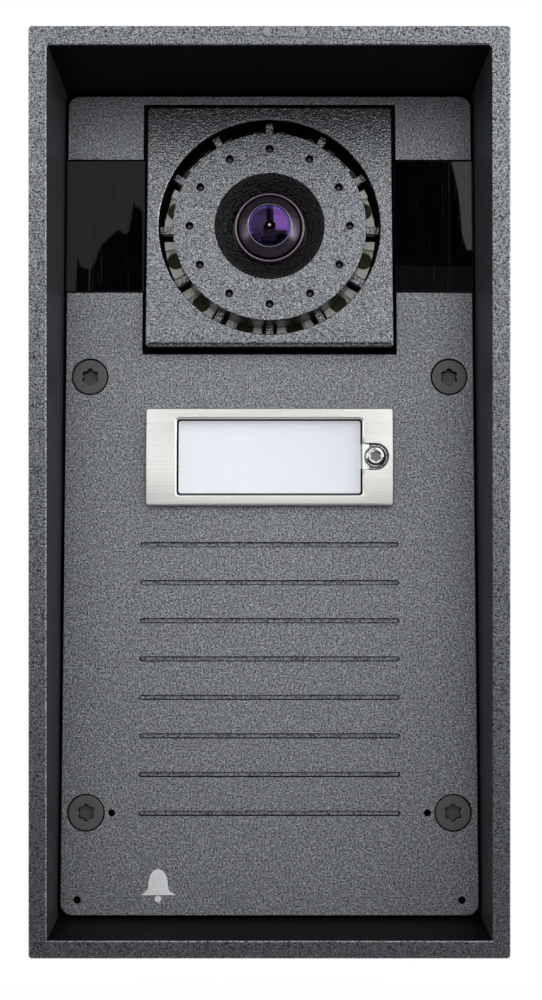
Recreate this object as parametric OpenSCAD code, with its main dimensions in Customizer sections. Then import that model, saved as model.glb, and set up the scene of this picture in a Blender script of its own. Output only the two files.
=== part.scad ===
// Video doorbell: a surface-mounted door station with a rain hood, a camera and
// speaker head, two infrared windows and a lit name plate that is the call button.
// Millimetres. The wall is the plane y = 0, the front faces -Y and +Z is up.
// Depths are counted from the wall, so a depth of 50 lies at y = -50.

/* [Housing] */
// Overall width
body_w = 112.2; // [104:0.2:120]
// Overall height
body_h = 216.4; // [206:0.2:228]
// Depth from the wall to the top of the rim
rim_top_depth = 83; // [76:0.5:90]
// Depth from the wall to the bottom of the rim
rim_low_depth = 66.3; // [61:0.1:72]
// Side wall thickness
wall_t = 4.25; // [3.4:0.05:5]
// Ceiling wall thickness
roof_t = 4.45; // [3.6:0.05:5.4]
// Floor wall thickness at the rim
floor_t = 4.2; // [3.4:0.05:5]
// Rise of the drained floor from the rim to the panel
floor_rise = 1.7; // [0.8:0.1:2.6]
// Back wall thickness
back_t = 3; // [2.4:0.1:3.8]
// Radius of the outer long edges
corner_r = 0.8; // [0.4:0.1:2]
// Width of the ledge the panel sits on
ledge_reach = 3.5; // [2.8:0.1:4.2]
// Thickness of the ledge
ledge_t = 3.5; // [2.6:0.1:4.4]
// Radius of the screw posts of the housing
post_r = 4.2; // [3.7:0.1:4.5]

/* [Wall fixing] */
// Spacing of the wall holes across
wall_hole_x = 60; // [52:0.5:68]
// Spacing of the wall holes up and down
wall_hole_z = 188; // [184:0.5:190]
// Radius of the wall holes
wall_hole_r = 2.75; // [2.2:0.05:3.2]
// Radius of the cable entry
entry_r = 11; // [9:0.5:12]
// Height of the cable entry above the bottom edge
entry_up = 24.2; // [22:0.1:26]
// Radius of the bore through the grommet
cable_r = 4; // [3:0.1:5]

/* [Front panel] */
// Depth from the wall to the panel face
panel_depth = 50; // [47.5:0.1:52.5]
// Panel thickness
panel_t = 3; // [2.8:0.1:3.4]
// Gap between the panel and the housing walls
panel_gap = 0.8; // [0.5:0.05:1.1]
// Panel corner radius
panel_r = 3; // [2:0.1:4]
// Gasket thickness
gasket_t = 1; // [0.7:0.05:1.3]
// Strip of panel above the camera head
strip_h = 2.25; // [1.8:0.05:2.8]
// Inset of the panel screws from the panel edge
screw_inset = 6.05; // [5.6:0.05:6.6]
// Drop of the upper panel screws below the camera opening
screw_drop = 5.8; // [5.2:0.1:6.4]
// Height of the lower panel screws above the panel edge
screw_rise = 24.7; // [23:0.1:26]
// Radius of the panel screw heads
panel_head_r = 4.3; // [3.9:0.05:4.6]
// Radius of the panel screw shanks
panel_shank_r = 2.5; // [2.2:0.05:2.7]
// Radius of the sound holes and the weep holes
pinhole_r = 0.85; // [0.6:0.05:1]
// Number of grooves below the name plate
groove_n = 8; // [6:1:8]
// Pitch of the grooves
groove_pitch = 9.41; // [8.6:0.01:9.9]
// Length of a groove
groove_l = 64.1; // [56:0.1:66]
// Width of a groove
groove_w = 1.2; // [0.8:0.05:1.6]
// Depth of a groove
groove_d = 0.5; // [0.3:0.05:0.9]
// Drop of the first groove below the name plate
groove_drop = 9.65; // [8:0.05:11]

/* [Camera head] */
// Width of the square head
head_w = 60.7; // [57.5:0.1:62]
// Height of the square head
head_h = 61.9; // [58:0.1:63]
// Gap beside the head
head_gap_x = 1.45; // [1:0.05:1.8]
// Gap above and below the head
head_gap_z = 1; // [0.7:0.05:1.3]
// How far the top edge of the head stands out from the panel
head_proud_top = 1; // [0.5:0.1:1.6]
// How far the bottom edge of the head stands out from the panel
head_proud_low = 5; // [4:0.1:6]
// Corner radius of the head
head_r = 0.8; // [0.4:0.1:1.4]
// Thickness of the flange behind the panel
flange_t = 3.5; // [2.8:0.1:3.9]
// Outer radius of the sound slot
slot_r = 27.7; // [26.8:0.05:28.1]
// Radius of the centre disc
disc_r = 24.25; // [23.6:0.05:24.8]
// Width of a spoke across the slot
spoke_w = 2; // [1.4:0.1:2.6]
// Radius of the circle of lamp holes
lamp_ring_r = 20.1; // [19.6:0.05:20.6]
// Radius of a lamp hole
lamp_hole_r = 1; // [0.85:0.05:1.15]
// Radius of the funnel at the face
funnel_r = 13.8; // [13:0.05:14.6]
// Depth of the funnel
funnel_d = 2.4; // [1.8:0.05:2.9]
// Radius of the lens bore
lens_bore_r = 9.5; // [9.2:0.05:9.9]

/* [Lens] */
// Outer radius of the lip ring
lip_r = 8.9; // [8.5:0.05:8.95]
// Wall of the lip ring
lip_t = 0.75; // [0.5:0.05:0.8]
// Depth of the lip below the face of the disc
lip_below = 1.6; // [1.2:0.1:2.2]
// Outer radius of the lens cone
cone_r = 7.7; // [7.2:0.05:7.8]
// Radius of the ring round the front glass
trim_r = 5.6; // [5.3:0.05:5.9]
// Radius of the front glass
glass_r = 4.85; // [4.5:0.05:4.95]
// Bulge of the front glass
glass_bulge = 1.3; // [0.9:0.05:1.7]

/* [Infrared windows] */
// Height of a window
window_h = 33.5; // [31:0.1:35]
// Thickness of a window
window_t = 1.8; // [1.4:0.05:2]
// Height of the window centre above the head centre
window_up = 0.7; // [0:0.1:1.5]

/* [Call button] */
// Width of the name plate
plate_w = 61.4; // [60:0.1:63]
// Height of the name plate
plate_h = 24.1; // [23.6:0.1:25]
// Thickness of the name plate
plate_t = 1.8; // [1.5:0.05:2.2]
// Drop of the name plate below the camera opening
plate_drop = 14.1; // [13.5:0.1:14.8]
// Width of the clear window
pane_w = 46; // [44:0.1:46.6]
// Height of the clear window
pane_h = 18.9; // [18:0.1:19.1]
// Travel of the button
travel = 0.8; // [0.4:0.05:0.9]
// Gap between the name plate and the panel at rest
plate_gap = 1; // [0.95:0.05:1.3]
// Offset of the window screw from the plate centre
tab_x = 26.25; // [25.9:0.05:26.4]

/* [Speaker] */
// Radius of the speaker flange
speaker_r = 33; // [32.6:0.05:33.4]
// Depth of the sound chamber
chamber_l = 8.4; // [7.6:0.1:9]
// Depth of the speaker behind its flange
speaker_l = 20; // [18.5:0.1:22]
// Radius of the magnet
magnet_r = 20; // [18:0.1:21]
// Thickness of the magnet
magnet_t = 4.5; // [3.5:0.1:5.5]
// Radius of the pole in the magnet
pole_r = 5.6; // [5:0.05:6]
// Radius of the sound ring holes
sound_hole_r = 2.25; // [1.8:0.05:2.6]
// Stroke of the cone each way
stroke = 0.8; // [0.3:0.05:0.9]

/* [Main board] */
// Width of the main board
board_w = 76; // [72:0.5:79]
// Height of the main board
board_h = 152; // [149:0.5:155]
// Thickness of the boards
board_t = 1.6; // [1.2:0.1:1.8]
// Height of the board posts
standoff_h = 3; // [2.5:0.1:3.4]
// Number of wire terminals
terminal_n = 6; // [4:1:6]
// Pitch of the wire terminals
terminal_pitch = 6; // [5:0.1:6.2]
// Radius of the capacitors
capacitor_r = 4.5; // [3.5:0.1:5]
// Height of the capacitors
capacitor_h = 12; // [9:0.5:16]

/* [Output] */
// Sub-part to draw

/* [Hidden] */

$fn = 64;
eps = 0.05;
// clearance between curved faces and between free edges
fit = 0.3;
// clearance of the guide pins and the switch plunger
slip = 0.1;

half_w = body_w / 2;
half_h = body_h / 2;
inner_x = half_w - wall_t;
ceiling_z = half_h - roof_t;
floor_z = floor_t + floor_rise - half_h;
panel_back = panel_depth - panel_t;
ledge_w = panel_back - gasket_t;
ledge_back = ledge_w - ledge_t;
open_x = inner_x - ledge_reach;
open_top = ceiling_z - ledge_reach;
open_low = floor_z + ledge_reach;
entry_z = entry_up - half_h;

panel_half = inner_x - panel_gap;
panel_top = ceiling_z - panel_gap;
panel_low = floor_z + panel_gap;
screw_x = panel_half - screw_inset;

cut_top = panel_top - strip_h;
cut_low = cut_top - head_h - 2 * head_gap_z;
cut_half = head_w / 2 + head_gap_x;
head_z = cut_top - head_gap_z - head_h / 2;
upper_z = cut_low - screw_drop;
lower_z = panel_low + screw_rise;
mic_x = screw_x - post_r - 2.1;
weep_x = panel_half - 4.1;
weep_z = panel_low + 3.7;

face_w = panel_depth + (head_proud_top + head_proud_low) / 2;
tilt = atan((head_proud_low - head_proud_top) / head_h);
funnel_slope = (funnel_r - lens_bore_r) / funnel_d;
flange_back = ledge_w - flange_t;
flange_half = cut_half + 2.2;
flange_top = open_top - 0.35;
flange_low = cut_low - 2.9;
ear_x = flange_half + 2.5;
ear_low = cut_low + 5.5;
ear_top = flange_top - 5.5;

ring_t = 1.5;
ring_w = flange_back - ring_t;
membrane_t = 0.6;
membrane_w = ring_w - membrane_t;
speaker_w = membrane_w - chamber_l;
pocket_r = slot_r + 1.2;
chamber_in = pocket_r - 1.5;
lens_seat_r = 12;
hub_r = lens_seat_r + 4.8;
sound_hole_ring = disc_r + 0.65;
speaker_screw_r = speaker_r - 2;
speaker_lip = speaker_r - 4.2;
surround_r = speaker_r - 7.8;
roll_r = 1.8;
coil_in = pole_r + 0.3;
coil_out = coil_in + 0.35;
top_plate_w = speaker_w - speaker_l + 1.5 + magnet_t;
coil_w = speaker_w - speaker_l + 1.5 + 1.2 + stroke;
coil_l = 9.5;
lamp_out = lamp_ring_r + 2.1;
lamp_in = lamp_ring_r - 2.3;

camera_w = speaker_w + 4;
camera_t = 1.2;
camera_front = camera_w + camera_t;
camera_post = 10.05;
barrel_r = 6;
shoulder_w = ledge_w;
lip_top = face_w - lip_below;
barrel_w = camera_front + 6;
cone_w = face_w - 3.5;
dome_r = (glass_r * glass_r + glass_bulge * glass_bulge) / (2 * glass_bulge);

window_z = head_z + window_up;
window_in = cut_half - 0.3;
window_out = inner_x - 0.35;
window_w = panel_depth - window_t;
ir_board_w = panel_back - 2 - 1.4;
ir_in = flange_half + 0.8;
ir_out = open_x - 0.75;
ir_x = (ir_in + ir_out) / 2;
ir_board_h = window_h - 3.5;
ir_led_step = ir_board_h / 4;
ir_screw_z = ir_board_h / 2 - 2;

plate_z = cut_low - plate_drop - plate_h / 2;
plate_w0 = panel_depth + plate_gap;
crown = 0.5;
crown_r = (plate_h * plate_h / 4 + crown * crown) / (2 * crown);
hole_x0 = pane_w / 2 + 4;
hole_x1 = tab_x + 2.75;
hole_half = pane_h / 2 + 1.75;
tray_t = 1.8;
tray_w = panel_back - tray_t;
neck_gap = 0.4;
seat_half_x = pane_w / 2 + 1.4;
seat_half_z = pane_h / 2 + 0.55;
guide_x = plate_w / 2 - 5.2;
guide_r = 1.5;
board_b = panel_back - 9.4;
bracket_w = board_b - 1.6;
bracket_x = plate_w / 2 + 2.3;
bracket_z = plate_h / 2 + 3.75;
cap_w = board_b + board_t;
cap_floor_w = cap_w + 0.8;
plunger_r = 1.7;
plunger_w = cap_floor_w + travel + fit;
light_x = pane_w / 2 - 10;

main_w = back_t + standoff_h;
main_front = main_w + board_t;
main_z = wall_hole_z / 2 - 8 - board_h / 2;
main_low = main_z - board_h / 2;
main_x = board_w / 2 - 5;
main_hole_z = board_h / 2 - 6;
terminal_x = 27 - board_w / 2;
terminal_z = main_low + 10;
socket_x = board_w / 2 - 20;
socket_z = main_low + 22;

// places its child at x and z, with the child's own z axis running out from the wall
module at(x, z, w) {
  translate([x, -w, z]) rotate([90, 0, 0]) children();
}

// a flat outline drawn in x and z, t thick, with its back at depth w
module slab(w, t) {
  translate([0, -w, 0]) rotate([90, 0, 0]) linear_extrude(height = t) children();
}

// a profile of [depth, height] points drawn across the full width w
module across(w) {
  translate([-w / 2, 0, 0]) rotate([90, 0, 90]) linear_extrude(height = w)
    mirror([1, 0]) children();
}

// a rectangle between two corners
module box2(x0, z0, x1, z1) {
  translate([x0, z0]) square([x1 - x0, z1 - z0]);
}

// a centred rectangle with round corners
module round2(w, h, r) {
  square([w - 2 * r, h], center = true);
  square([w, h - 2 * r], center = true);
  for (sx = [-1, 1], sz = [-1, 1])
    translate([sx * (w / 2 - r), sz * (h / 2 - r)]) circle(r = r);
}

// a slot with round ends
module stadium(l, w) {
  square([l - w, w], center = true);
  for (s = [-1, 1]) translate([s * (l - w) / 2, 0]) circle(r = w / 2);
}

// a ring seen from the front
module ring2(ro, ri) {
  difference() {
    circle(r = ro);
    circle(r = ri);
  }
}

// a ring of solid, t thick, with its back at depth w
module ring(z, w, t, ro, ri) {
  at(0, z, w) linear_extrude(height = t) ring2(ro, ri);
}

// six-lobe driver recess
module six_lobe(r) {
  circle(r = r * 0.78);
  for (a = [0:60:300]) rotate(a) translate([r * 0.72, 0]) circle(r = r * 0.28);
}

// pan-head screw driven from behind: the head's bearing face is at depth w
module screw_in(x, z, w, head_r, head_h, shank_r, l) {
  difference() {
    union() {
      at(x, z, w - head_h) cylinder(r = head_r, h = head_h);
      at(x, z, w - eps) cylinder(r = shank_r, h = l + eps);
    }
    at(x, z, w - head_h - eps) linear_extrude(height = head_h * 0.6) six_lobe(head_r * 0.55);
  }
}

// pan-head screw driven from the front
module screw_out(x, z, w, head_r, head_h, shank_r, l) {
  difference() {
    union() {
      at(x, z, w) cylinder(r = head_r, h = head_h);
      at(x, z, w - l) cylinder(r = shank_r, h = l + eps);
    }
    at(x, z, w + head_h * 0.4) linear_extrude(height = head_h) six_lobe(head_r * 0.5);
  }
}

// the panel screws
module at_panel_screws() {
  for (s = [-1, 1], z = [upper_z, lower_z]) translate([s * screw_x, 0, z]) children();
}

// turned to the tilted face of the head, with the origin at its centre
module on_face() {
  translate([0, -face_w, head_z]) rotate([90 - tilt, 0, 0]) children();
}

// ---------------------------------------------------------------- housing

module housing() {
  color([0.36, 0.37, 0.39])
  difference() {
    union() {
      difference() {
        intersection() {
          across(body_w) polygon([[0, -half_h], [rim_low_depth, -half_h],
            [rim_top_depth, half_h], [0, half_h]]);
          slab(-1, rim_top_depth + 2) round2(body_w, body_h, corner_r);
        }
        across(2 * inner_x) polygon([[back_t, floor_z], [ledge_back, floor_z],
          [ledge_back, ceiling_z], [back_t, ceiling_z]]);
        across(2 * open_x) polygon([[ledge_back - 1, open_low], [ledge_w + 1, open_low],
          [ledge_w + 1, open_top], [ledge_back - 1, open_top]]);
        across(2 * inner_x) polygon([[ledge_w, floor_z], [panel_depth, floor_z],
          [rim_low_depth, floor_z - floor_rise],
          [rim_top_depth + 1, floor_z - 2 * floor_rise - 1],
          [rim_top_depth + 1, ceiling_z], [ledge_w, ceiling_z]]);
      }
      at_panel_screws() at(0, 0, back_t - eps) cylinder(r = post_r, h = ledge_w - back_t + eps);
      for (s = [-1, 1], z = [upper_z, lower_z])
        slab(back_t - eps, ledge_w - back_t + eps)
          box2(min(s * screw_x, s * (inner_x + 1)), z - 2, max(s * screw_x, s * (inner_x + 1)), z + 2);
      for (s = [-1, 1], t = [-1, 1])
        at(s * main_x, main_z + t * main_hole_z, back_t - eps) cylinder(r = 3.5, h = standoff_h + eps);
    }
    at_panel_screws() at(0, 0, panel_back - 26) cylinder(r = panel_shank_r + fit, h = 40);
    for (s = [-1, 1], t = [-1, 1])
      at(s * main_x, main_z + t * main_hole_z, 1.2) cylinder(r = 1.8, h = 10);
    for (s = [-1, 1], t = [-1, 1])
      at(s * wall_hole_x / 2, t * wall_hole_z / 2, -1) cylinder(r = wall_hole_r, h = back_t + 2);
    at(0, entry_z, -1) cylinder(r = entry_r, h = back_t + 2);
  }
}

module cable_grommet() {
  color([0.06, 0.06, 0.06])
  difference() {
    union() {
      at(0, entry_z, 0) cylinder(r = entry_r - fit, h = back_t + eps);
      at(0, entry_z, back_t) cylinder(r = entry_r + 2, h = 1.5);
      at(0, entry_z, back_t) cylinder(r = cable_r + 2, h = 5);
    }
    at(0, entry_z, -1) cylinder(r = cable_r, h = back_t + 10);
  }
}

module panel_gasket() {
  color([0.05, 0.05, 0.05])
  slab(ledge_w, gasket_t) difference() {
    union() {
      difference() {
        box2(-panel_half, panel_low, panel_half, panel_top);
        box2(-open_x, open_low, open_x, open_top);
      }
      for (s = [-1, 1], z = [upper_z, lower_z]) {
        translate([s * screw_x, z]) circle(r = post_r);
        box2(min(s * screw_x, s * (open_x + 1)), z - 2, max(s * screw_x, s * (open_x + 1)), z + 2);
      }
    }
    for (s = [-1, 1], z = [upper_z, lower_z])
      translate([s * screw_x, z]) circle(r = panel_shank_r + fit);
  }
}

// ------------------------------------------------------------ front panel

module panel_outline() {
  translate([0, (panel_top + panel_low) / 2])
    round2(2 * panel_half, panel_top - panel_low, panel_r);
}

module front_panel() {
  color([0.44, 0.45, 0.47])
  difference() {
    union() {
      slab(panel_back, panel_t) difference() {
        panel_outline();
        box2(-cut_half, cut_low, cut_half, cut_top);
        translate([0, plate_z]) box2(-hole_x0, -hole_half, hole_x1, hole_half);
      }
      for (s = [-1, 1], t = [-1, 1]) {
        at(s * ir_x, window_z + t * ir_screw_z, panel_back - 2) cylinder(r = 1.9, h = 2 + eps);
        at(s * bracket_x, plate_z + t * bracket_z, board_b) cylinder(r = 2.8, h = panel_back - board_b + eps);
      }
    }
    at_panel_screws() {
      at(0, 0, panel_back - 1) cylinder(r = panel_shank_r + fit, h = 5);
      at(0, 0, panel_depth - 0.8 - (panel_head_r - panel_shank_r))
        cylinder(r1 = panel_shank_r + fit, r2 = panel_head_r + fit, h = panel_head_r - panel_shank_r);
      at(0, 0, panel_depth - 0.85) cylinder(r = panel_head_r + fit, h = 2);
    }
    for (s = [-1, 1]) {
      slab(window_w, window_t + 1)
        box2(min(s * (cut_half - 1), s * (panel_half + 1)), window_z - window_h / 2 - 0.25,
             max(s * (cut_half - 1), s * (panel_half + 1)), window_z + window_h / 2 + 0.25);
      for (k = [-1:1])
        at(s * ir_x, window_z + k * ir_led_step, panel_back - 1) cylinder(r = 2.9, h = 4);
      for (t = [-1, 1]) {
        at(s * ir_x, window_z + t * ir_screw_z, panel_back - 3) cylinder(r = 1.2, h = 3.7);
        at(s * bracket_x, plate_z + t * bracket_z, board_b - 1) cylinder(r = 1.55, h = 8);
      }
      for (z = [ear_low, ear_top]) at(s * ear_x, z, panel_back - 1) cylinder(r = 1.55, h = 3.2);
      at(s * mic_x, lower_z, panel_back - 1) cylinder(r = pinhole_r, h = 6);
      at(s * weep_x, weep_z, panel_back - 1) cylinder(r = pinhole_r, h = 6);
    }
    for (k = [0:groove_n - 1])
      slab(panel_depth - groove_d, 2)
        translate([0, plate_z - plate_h / 2 - groove_drop - k * groove_pitch]) stadium(groove_l, groove_w);
  }
}

module panel_screws() {
  color([0.25, 0.25, 0.26])
  at_panel_screws() difference() {
    union() {
      at(0, 0, panel_depth - 0.8) cylinder(r = panel_head_r, h = 0.7);
      at(0, 0, panel_depth - 0.8 - (panel_head_r - panel_shank_r))
        cylinder(r1 = panel_shank_r, r2 = panel_head_r, h = panel_head_r - panel_shank_r);
      at(0, 0, panel_back - 22) cylinder(r = panel_shank_r, h = 23);
    }
    at(0, 0, panel_depth - 2.2) linear_extrude(height = 4) six_lobe(panel_head_r * 0.5);
  }
}

// ------------------------------------------------------- infrared windows

module ir_window(s) {
  color([0.02, 0.02, 0.03])
  slab(window_w, window_t)
    box2(min(s * window_in, s * window_out), window_z - window_h / 2,
         max(s * window_in, s * window_out), window_z + window_h / 2);
}

module ir_window_left() {
  ir_window(-1);
}

module ir_window_right() {
  ir_window(1);
}

module ir_led_boards() {
  color([0.05, 0.22, 0.12])
  for (s = [-1, 1]) difference() {
    slab(ir_board_w, 1.4) translate([s * ir_x, window_z])
      square([ir_out - ir_in, ir_board_h], center = true);
    for (t = [-1, 1])
      at(s * ir_x, window_z + t * ir_screw_z, ir_board_w - 1) cylinder(r = 1.2, h = 4);
  }
}

module ir_leds() {
  color([0.75, 0.77, 0.85])
  for (s = [-1, 1], k = [-1:1]) translate([s * ir_x, 0, window_z + k * ir_led_step]) {
    at(0, 0, panel_back - 2) cylinder(r = 2.8, h = 0.8);
    intersection() {
      at(0, 0, window_w - 2.6) sphere(r = 2.4);
      at(0, 0, window_w - 2.6) cylinder(r = 3, h = 2.4);
    }
  }
}

module ir_board_screws() {
  color([0.7, 0.7, 0.72])
  for (s = [-1, 1], t = [-1, 1])
    screw_in(s * ir_x, window_z + t * ir_screw_z, ir_board_w, 1.8, 1.3, 0.9, 3.9);
}

// ------------------------------------------------------------ camera head

module flange_outline() {
  box2(-flange_half, flange_low, flange_half, flange_top);
  for (s = [-1, 1], z = [ear_low, ear_top]) {
    translate([s * ear_x, z]) circle(r = 3.2);
    box2(min(s * ear_x, s * (flange_half - 1)), z - 3.2, max(s * ear_x, s * (flange_half - 1)), z + 3.2);
  }
}

module head_body() {
  intersection() {
    across(head_w) polygon([[ledge_w - 1, head_z - head_h / 2],
      [panel_depth + head_proud_low, head_z - head_h / 2],
      [panel_depth + head_proud_top, head_z + head_h / 2], [ledge_w - 1, head_z + head_h / 2]]);
    slab(ledge_w - 1, 20) translate([0, head_z]) round2(head_w, head_h, head_r);
  }
}

module camera_bezel() {
  color([0.38, 0.39, 0.41])
  difference() {
    union() {
      difference() {
        union() {
          slab(flange_back, flange_t) flange_outline();
          head_body();
        }
        difference() {
          at(0, head_z, flange_back - 1) cylinder(r = slot_r, h = 40);
          at(0, head_z, flange_back - 2) cylinder(r = disc_r, h = 42);
          for (k = [0:5]) at(0, head_z, face_w - 7.5) rotate(k * 30)
            translate([-slot_r - 1, -spoke_w / 2, 0]) cube([2 * slot_r + 2, spoke_w, 2.5]);
        }
      }
      for (sx = [-1, 1], sz = [-1, 1])
        at(sx * camera_post, head_z + sz * camera_post, camera_front)
          cylinder(r = 2.1, h = flange_back - camera_front + eps);
    }
    at(0, head_z, flange_back - 1) cylinder(r = lens_seat_r + fit, h = shoulder_w - flange_back + 1);
    at(0, head_z, flange_back - 1) cylinder(r = lens_bore_r, h = 30);
    on_face() translate([0, 0, -funnel_d - 0.3])
      cylinder(r1 = lens_bore_r - 0.3 * funnel_slope, r2 = funnel_r + funnel_slope, h = funnel_d + 1.3);
    at(0, head_z, flange_back - 1) linear_extrude(height = 3.5)
      ring2(lamp_out + fit, lamp_in - fit);
    for (k = [0:11]) at(0, head_z, flange_back - 1) rotate(k * 30)
      translate([lamp_ring_r, 0, 0]) cylinder(r = lamp_hole_r, h = 30);
    for (sx = [-1, 1], sz = [-1, 1]) {
      at(sx * camera_post, head_z + sz * camera_post, camera_front - 1) cylinder(r = 1.3, h = 5.5);
      at(sx * speaker_screw_r * cos(45), head_z + sz * speaker_screw_r * sin(45), flange_back - 1)
        cylinder(r = 1.3, h = 5.2);
    }
    for (s = [-1, 1], z = [ear_low, ear_top]) at(s * ear_x, z, flange_back - 1) cylinder(r = 1.55, h = 8);
  }
}

module bezel_gasket() {
  color([0.03, 0.03, 0.03])
  slab(ledge_w, gasket_t) difference() {
    union() {
      flange_outline();
      box2(-flange_half, flange_top - 1, flange_half, open_top);
    }
    translate([0, head_z]) round2(head_w + 0.2, head_h + 0.2, head_r);
    for (s = [-1, 1], z = [ear_low, ear_top]) translate([s * ear_x, z]) circle(r = 1.55);
  }
}

module bezel_screws() {
  color([0.7, 0.7, 0.72])
  for (s = [-1, 1], z = [ear_low, ear_top])
    screw_in(s * ear_x, z, flange_back, 2.2, 1.5, 1.25, flange_t + gasket_t + 1.9);
}

module light_pipes() {
  color([0.8, 0.82, 0.86])
  for (k = [0:11]) {
    x = lamp_ring_r * cos(k * 30);
    z = lamp_ring_r * sin(k * 30);
    tip = face_w - 1.6 - z * tan(tilt);
    translate([x, 0, head_z + z]) {
      at(0, 0, flange_back + 1.2) cylinder(r = 0.7, h = tip - flange_back - 1.2);
      intersection() {
        at(0, 0, tip - 0.2) sphere(r = 0.75);
        at(0, 0, tip - 0.3) cylinder(r = 0.7, h = 1);
      }
    }
  }
}

module lamp_board() {
  color([0.05, 0.22, 0.12])
  ring(head_z, flange_back, 1.2, lamp_out, lamp_in);
}

module sound_ring() {
  color([0.66, 0.68, 0.66])
  slab(ring_w, ring_t) translate([0, head_z]) difference() {
    ring2(pocket_r, hub_r);
    for (k = [0:11]) rotate(15 + k * 30) translate([sound_hole_ring, 0]) circle(r = sound_hole_r);
  }
}

module acoustic_membrane() {
  color([0.16, 0.16, 0.09])
  ring(head_z, membrane_w, membrane_t, pocket_r, hub_r + 0.2);
}

// ---------------------------------------------------------------- speaker

module at_speaker_screws() {
  for (sx = [-1, 1], sz = [-1, 1])
    translate([sx * speaker_screw_r * cos(45), 0, head_z + sz * speaker_screw_r * sin(45)]) children();
}

module speaker_chamber() {
  color([0.1, 0.1, 0.11])
  difference() {
    union() {
      ring(head_z, speaker_w, chamber_l, speaker_r, chamber_in);
      ring(head_z, membrane_w - eps, membrane_t + ring_t + eps, speaker_r, pocket_r + fit);
    }
    at_speaker_screws() at(0, 0, speaker_w - 1) cylinder(r = 1.3, h = 20);
    slab(camera_w - 1, 2) box2(-4.5, head_z - speaker_r - 1, 4.5, head_z - 20);
  }
}

module speaker_basket() {
  plate_d = speaker_w - top_plate_w;
  color([0.2, 0.2, 0.22])
  difference() {
    at(0, head_z, speaker_w) rotate_extrude()
      polygon([[speaker_r, 0], [speaker_lip, 0], [speaker_lip, -0.6], [speaker_lip - 2, -0.6],
        [speaker_lip - 2, -1.1], [magnet_r, -plate_d + 4], [magnet_r - 4, -plate_d + 4],
        [magnet_r - 4, -plate_d + 2], [coil_out + 0.35, -plate_d + 2], [coil_out + 0.35, -plate_d],
        [magnet_r + 1.2, -plate_d], [magnet_r + 1.2, -plate_d + 3.5], [speaker_r - 4.7, -1.5],
        [speaker_r, -1.5]]);
    at_speaker_screws() at(0, 0, speaker_w - 5) cylinder(r = 1.3, h = 8);
    for (k = [0:3]) at(0, head_z, speaker_w) rotate(k * 90)
      translate([magnet_r - 1, -6, 5.4 - plate_d]) cube([12, 12, plate_d - 8.4]);
  }
}

module speaker_magnet() {
  color([0.12, 0.12, 0.13])
  ring(head_z, top_plate_w - magnet_t, magnet_t, magnet_r, coil_out + 1.75);
}

module speaker_yoke() {
  color([0.72, 0.72, 0.74])
  union() {
    at(0, head_z, speaker_w - speaker_l) cylinder(r = magnet_r - 0.6, h = 1.5);
    at(0, head_z, speaker_w - speaker_l) cylinder(r = pole_r, h = magnet_t + 3.5);
  }
}

module voice_coil() {
  color([0.72, 0.43, 0.2])
  ring(head_z, coil_w, coil_l, coil_out, coil_in);
}

module speaker_cone() {
  color([0.1, 0.1, 0.11])
  at(0, head_z, speaker_w) rotate_extrude()
    polygon([[coil_out + 0.15, -8.7], [coil_out + 0.15, -7.9], [surround_r - 3, -0.6],
      [surround_r - 1.6, -0.6], [surround_r - 1.6, -1.1], [surround_r - 2.8, -1.1]]);
}

module dust_cap() {
  color([0.14, 0.14, 0.15])
  at(0, head_z, speaker_w - 12.8) rotate_extrude() intersection() {
    difference() {
      circle(r = 9);
      circle(r = 8.6);
    }
    translate([0, 5.4]) square([12, 12]);
  }
}

module cone_surround() {
  color([0.06, 0.06, 0.06])
  at(0, head_z, speaker_w - 0.6) rotate_extrude() union() {
    translate([surround_r - 2.9, 0]) square([1.6, 0.4]);
    translate([surround_r + 1.4, 0]) square([1.9, 0.4]);
    intersection() {
      translate([surround_r, 0]) ring2(roll_r, roll_r - 0.4);
      translate([surround_r - 5, 0]) square([10, 4]);
    }
  }
}

module spider() {
  color([0.65, 0.45, 0.2])
  at(0, head_z, top_plate_w + 4) rotate_extrude() union() {
    translate([coil_out + 0.2, 0]) square([magnet_r - 2.35 - coil_out - 0.2, 0.3]);
    for (k = [0:2]) translate([coil_out + 2.75 + 2.4 * k, 0]) square([0.8, 0.8]);
  }
}

module speaker_screws() {
  color([0.7, 0.7, 0.72])
  for (sx = [-1, 1], sz = [-1, 1])
    screw_in(sx * speaker_screw_r * cos(45), head_z + sz * speaker_screw_r * sin(45),
      speaker_w - 1.5, 1.9, 1.3, 1, 16);
}

// ----------------------------------------------------------------- camera

module lens_holder() {
  color([0.06, 0.06, 0.06])
  difference() {
    slab(camera_front, barrel_w - camera_front) translate([0, head_z]) square([15, 15], center = true);
    slab(camera_front - 1, 3.2) translate([0, head_z]) square([11, 11], center = true);
    at(0, head_z, camera_front - 1) cylinder(r = barrel_r + fit, h = 20);
  }
}

module lens_barrel() {
  color([0.08, 0.08, 0.09])
  difference() {
    union() {
      at(0, head_z, camera_front + 2.6) cylinder(r = barrel_r, h = barrel_w - camera_front);
      at(0, head_z, barrel_w) cylinder(r = 7.4, h = cone_w - barrel_w);
    }
    at(0, head_z, camera_front) cylinder(r = 3.2, h = 30);
  }
}

module lens_cone() {
  color([0.3, 0.26, 0.3])
  at(0, head_z, cone_w) rotate_extrude()
    polygon([[6.6, 0], [cone_r, 0], [cone_r, 1.6], [cone_r - 0.35, 2.2], [cone_r - 0.9, 2.9],
      [trim_r + 0.4, 3.45], [trim_r, 3.7], [glass_r + fit, 3.7], [glass_r + fit, 2], [6.6, 2]]);
}

module lens_trim_ring() {
  color([0.75, 0.75, 0.78])
  ring(head_z, cone_w + 3.7, 0.3, trim_r - 0.05, glass_r + fit);
}

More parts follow.
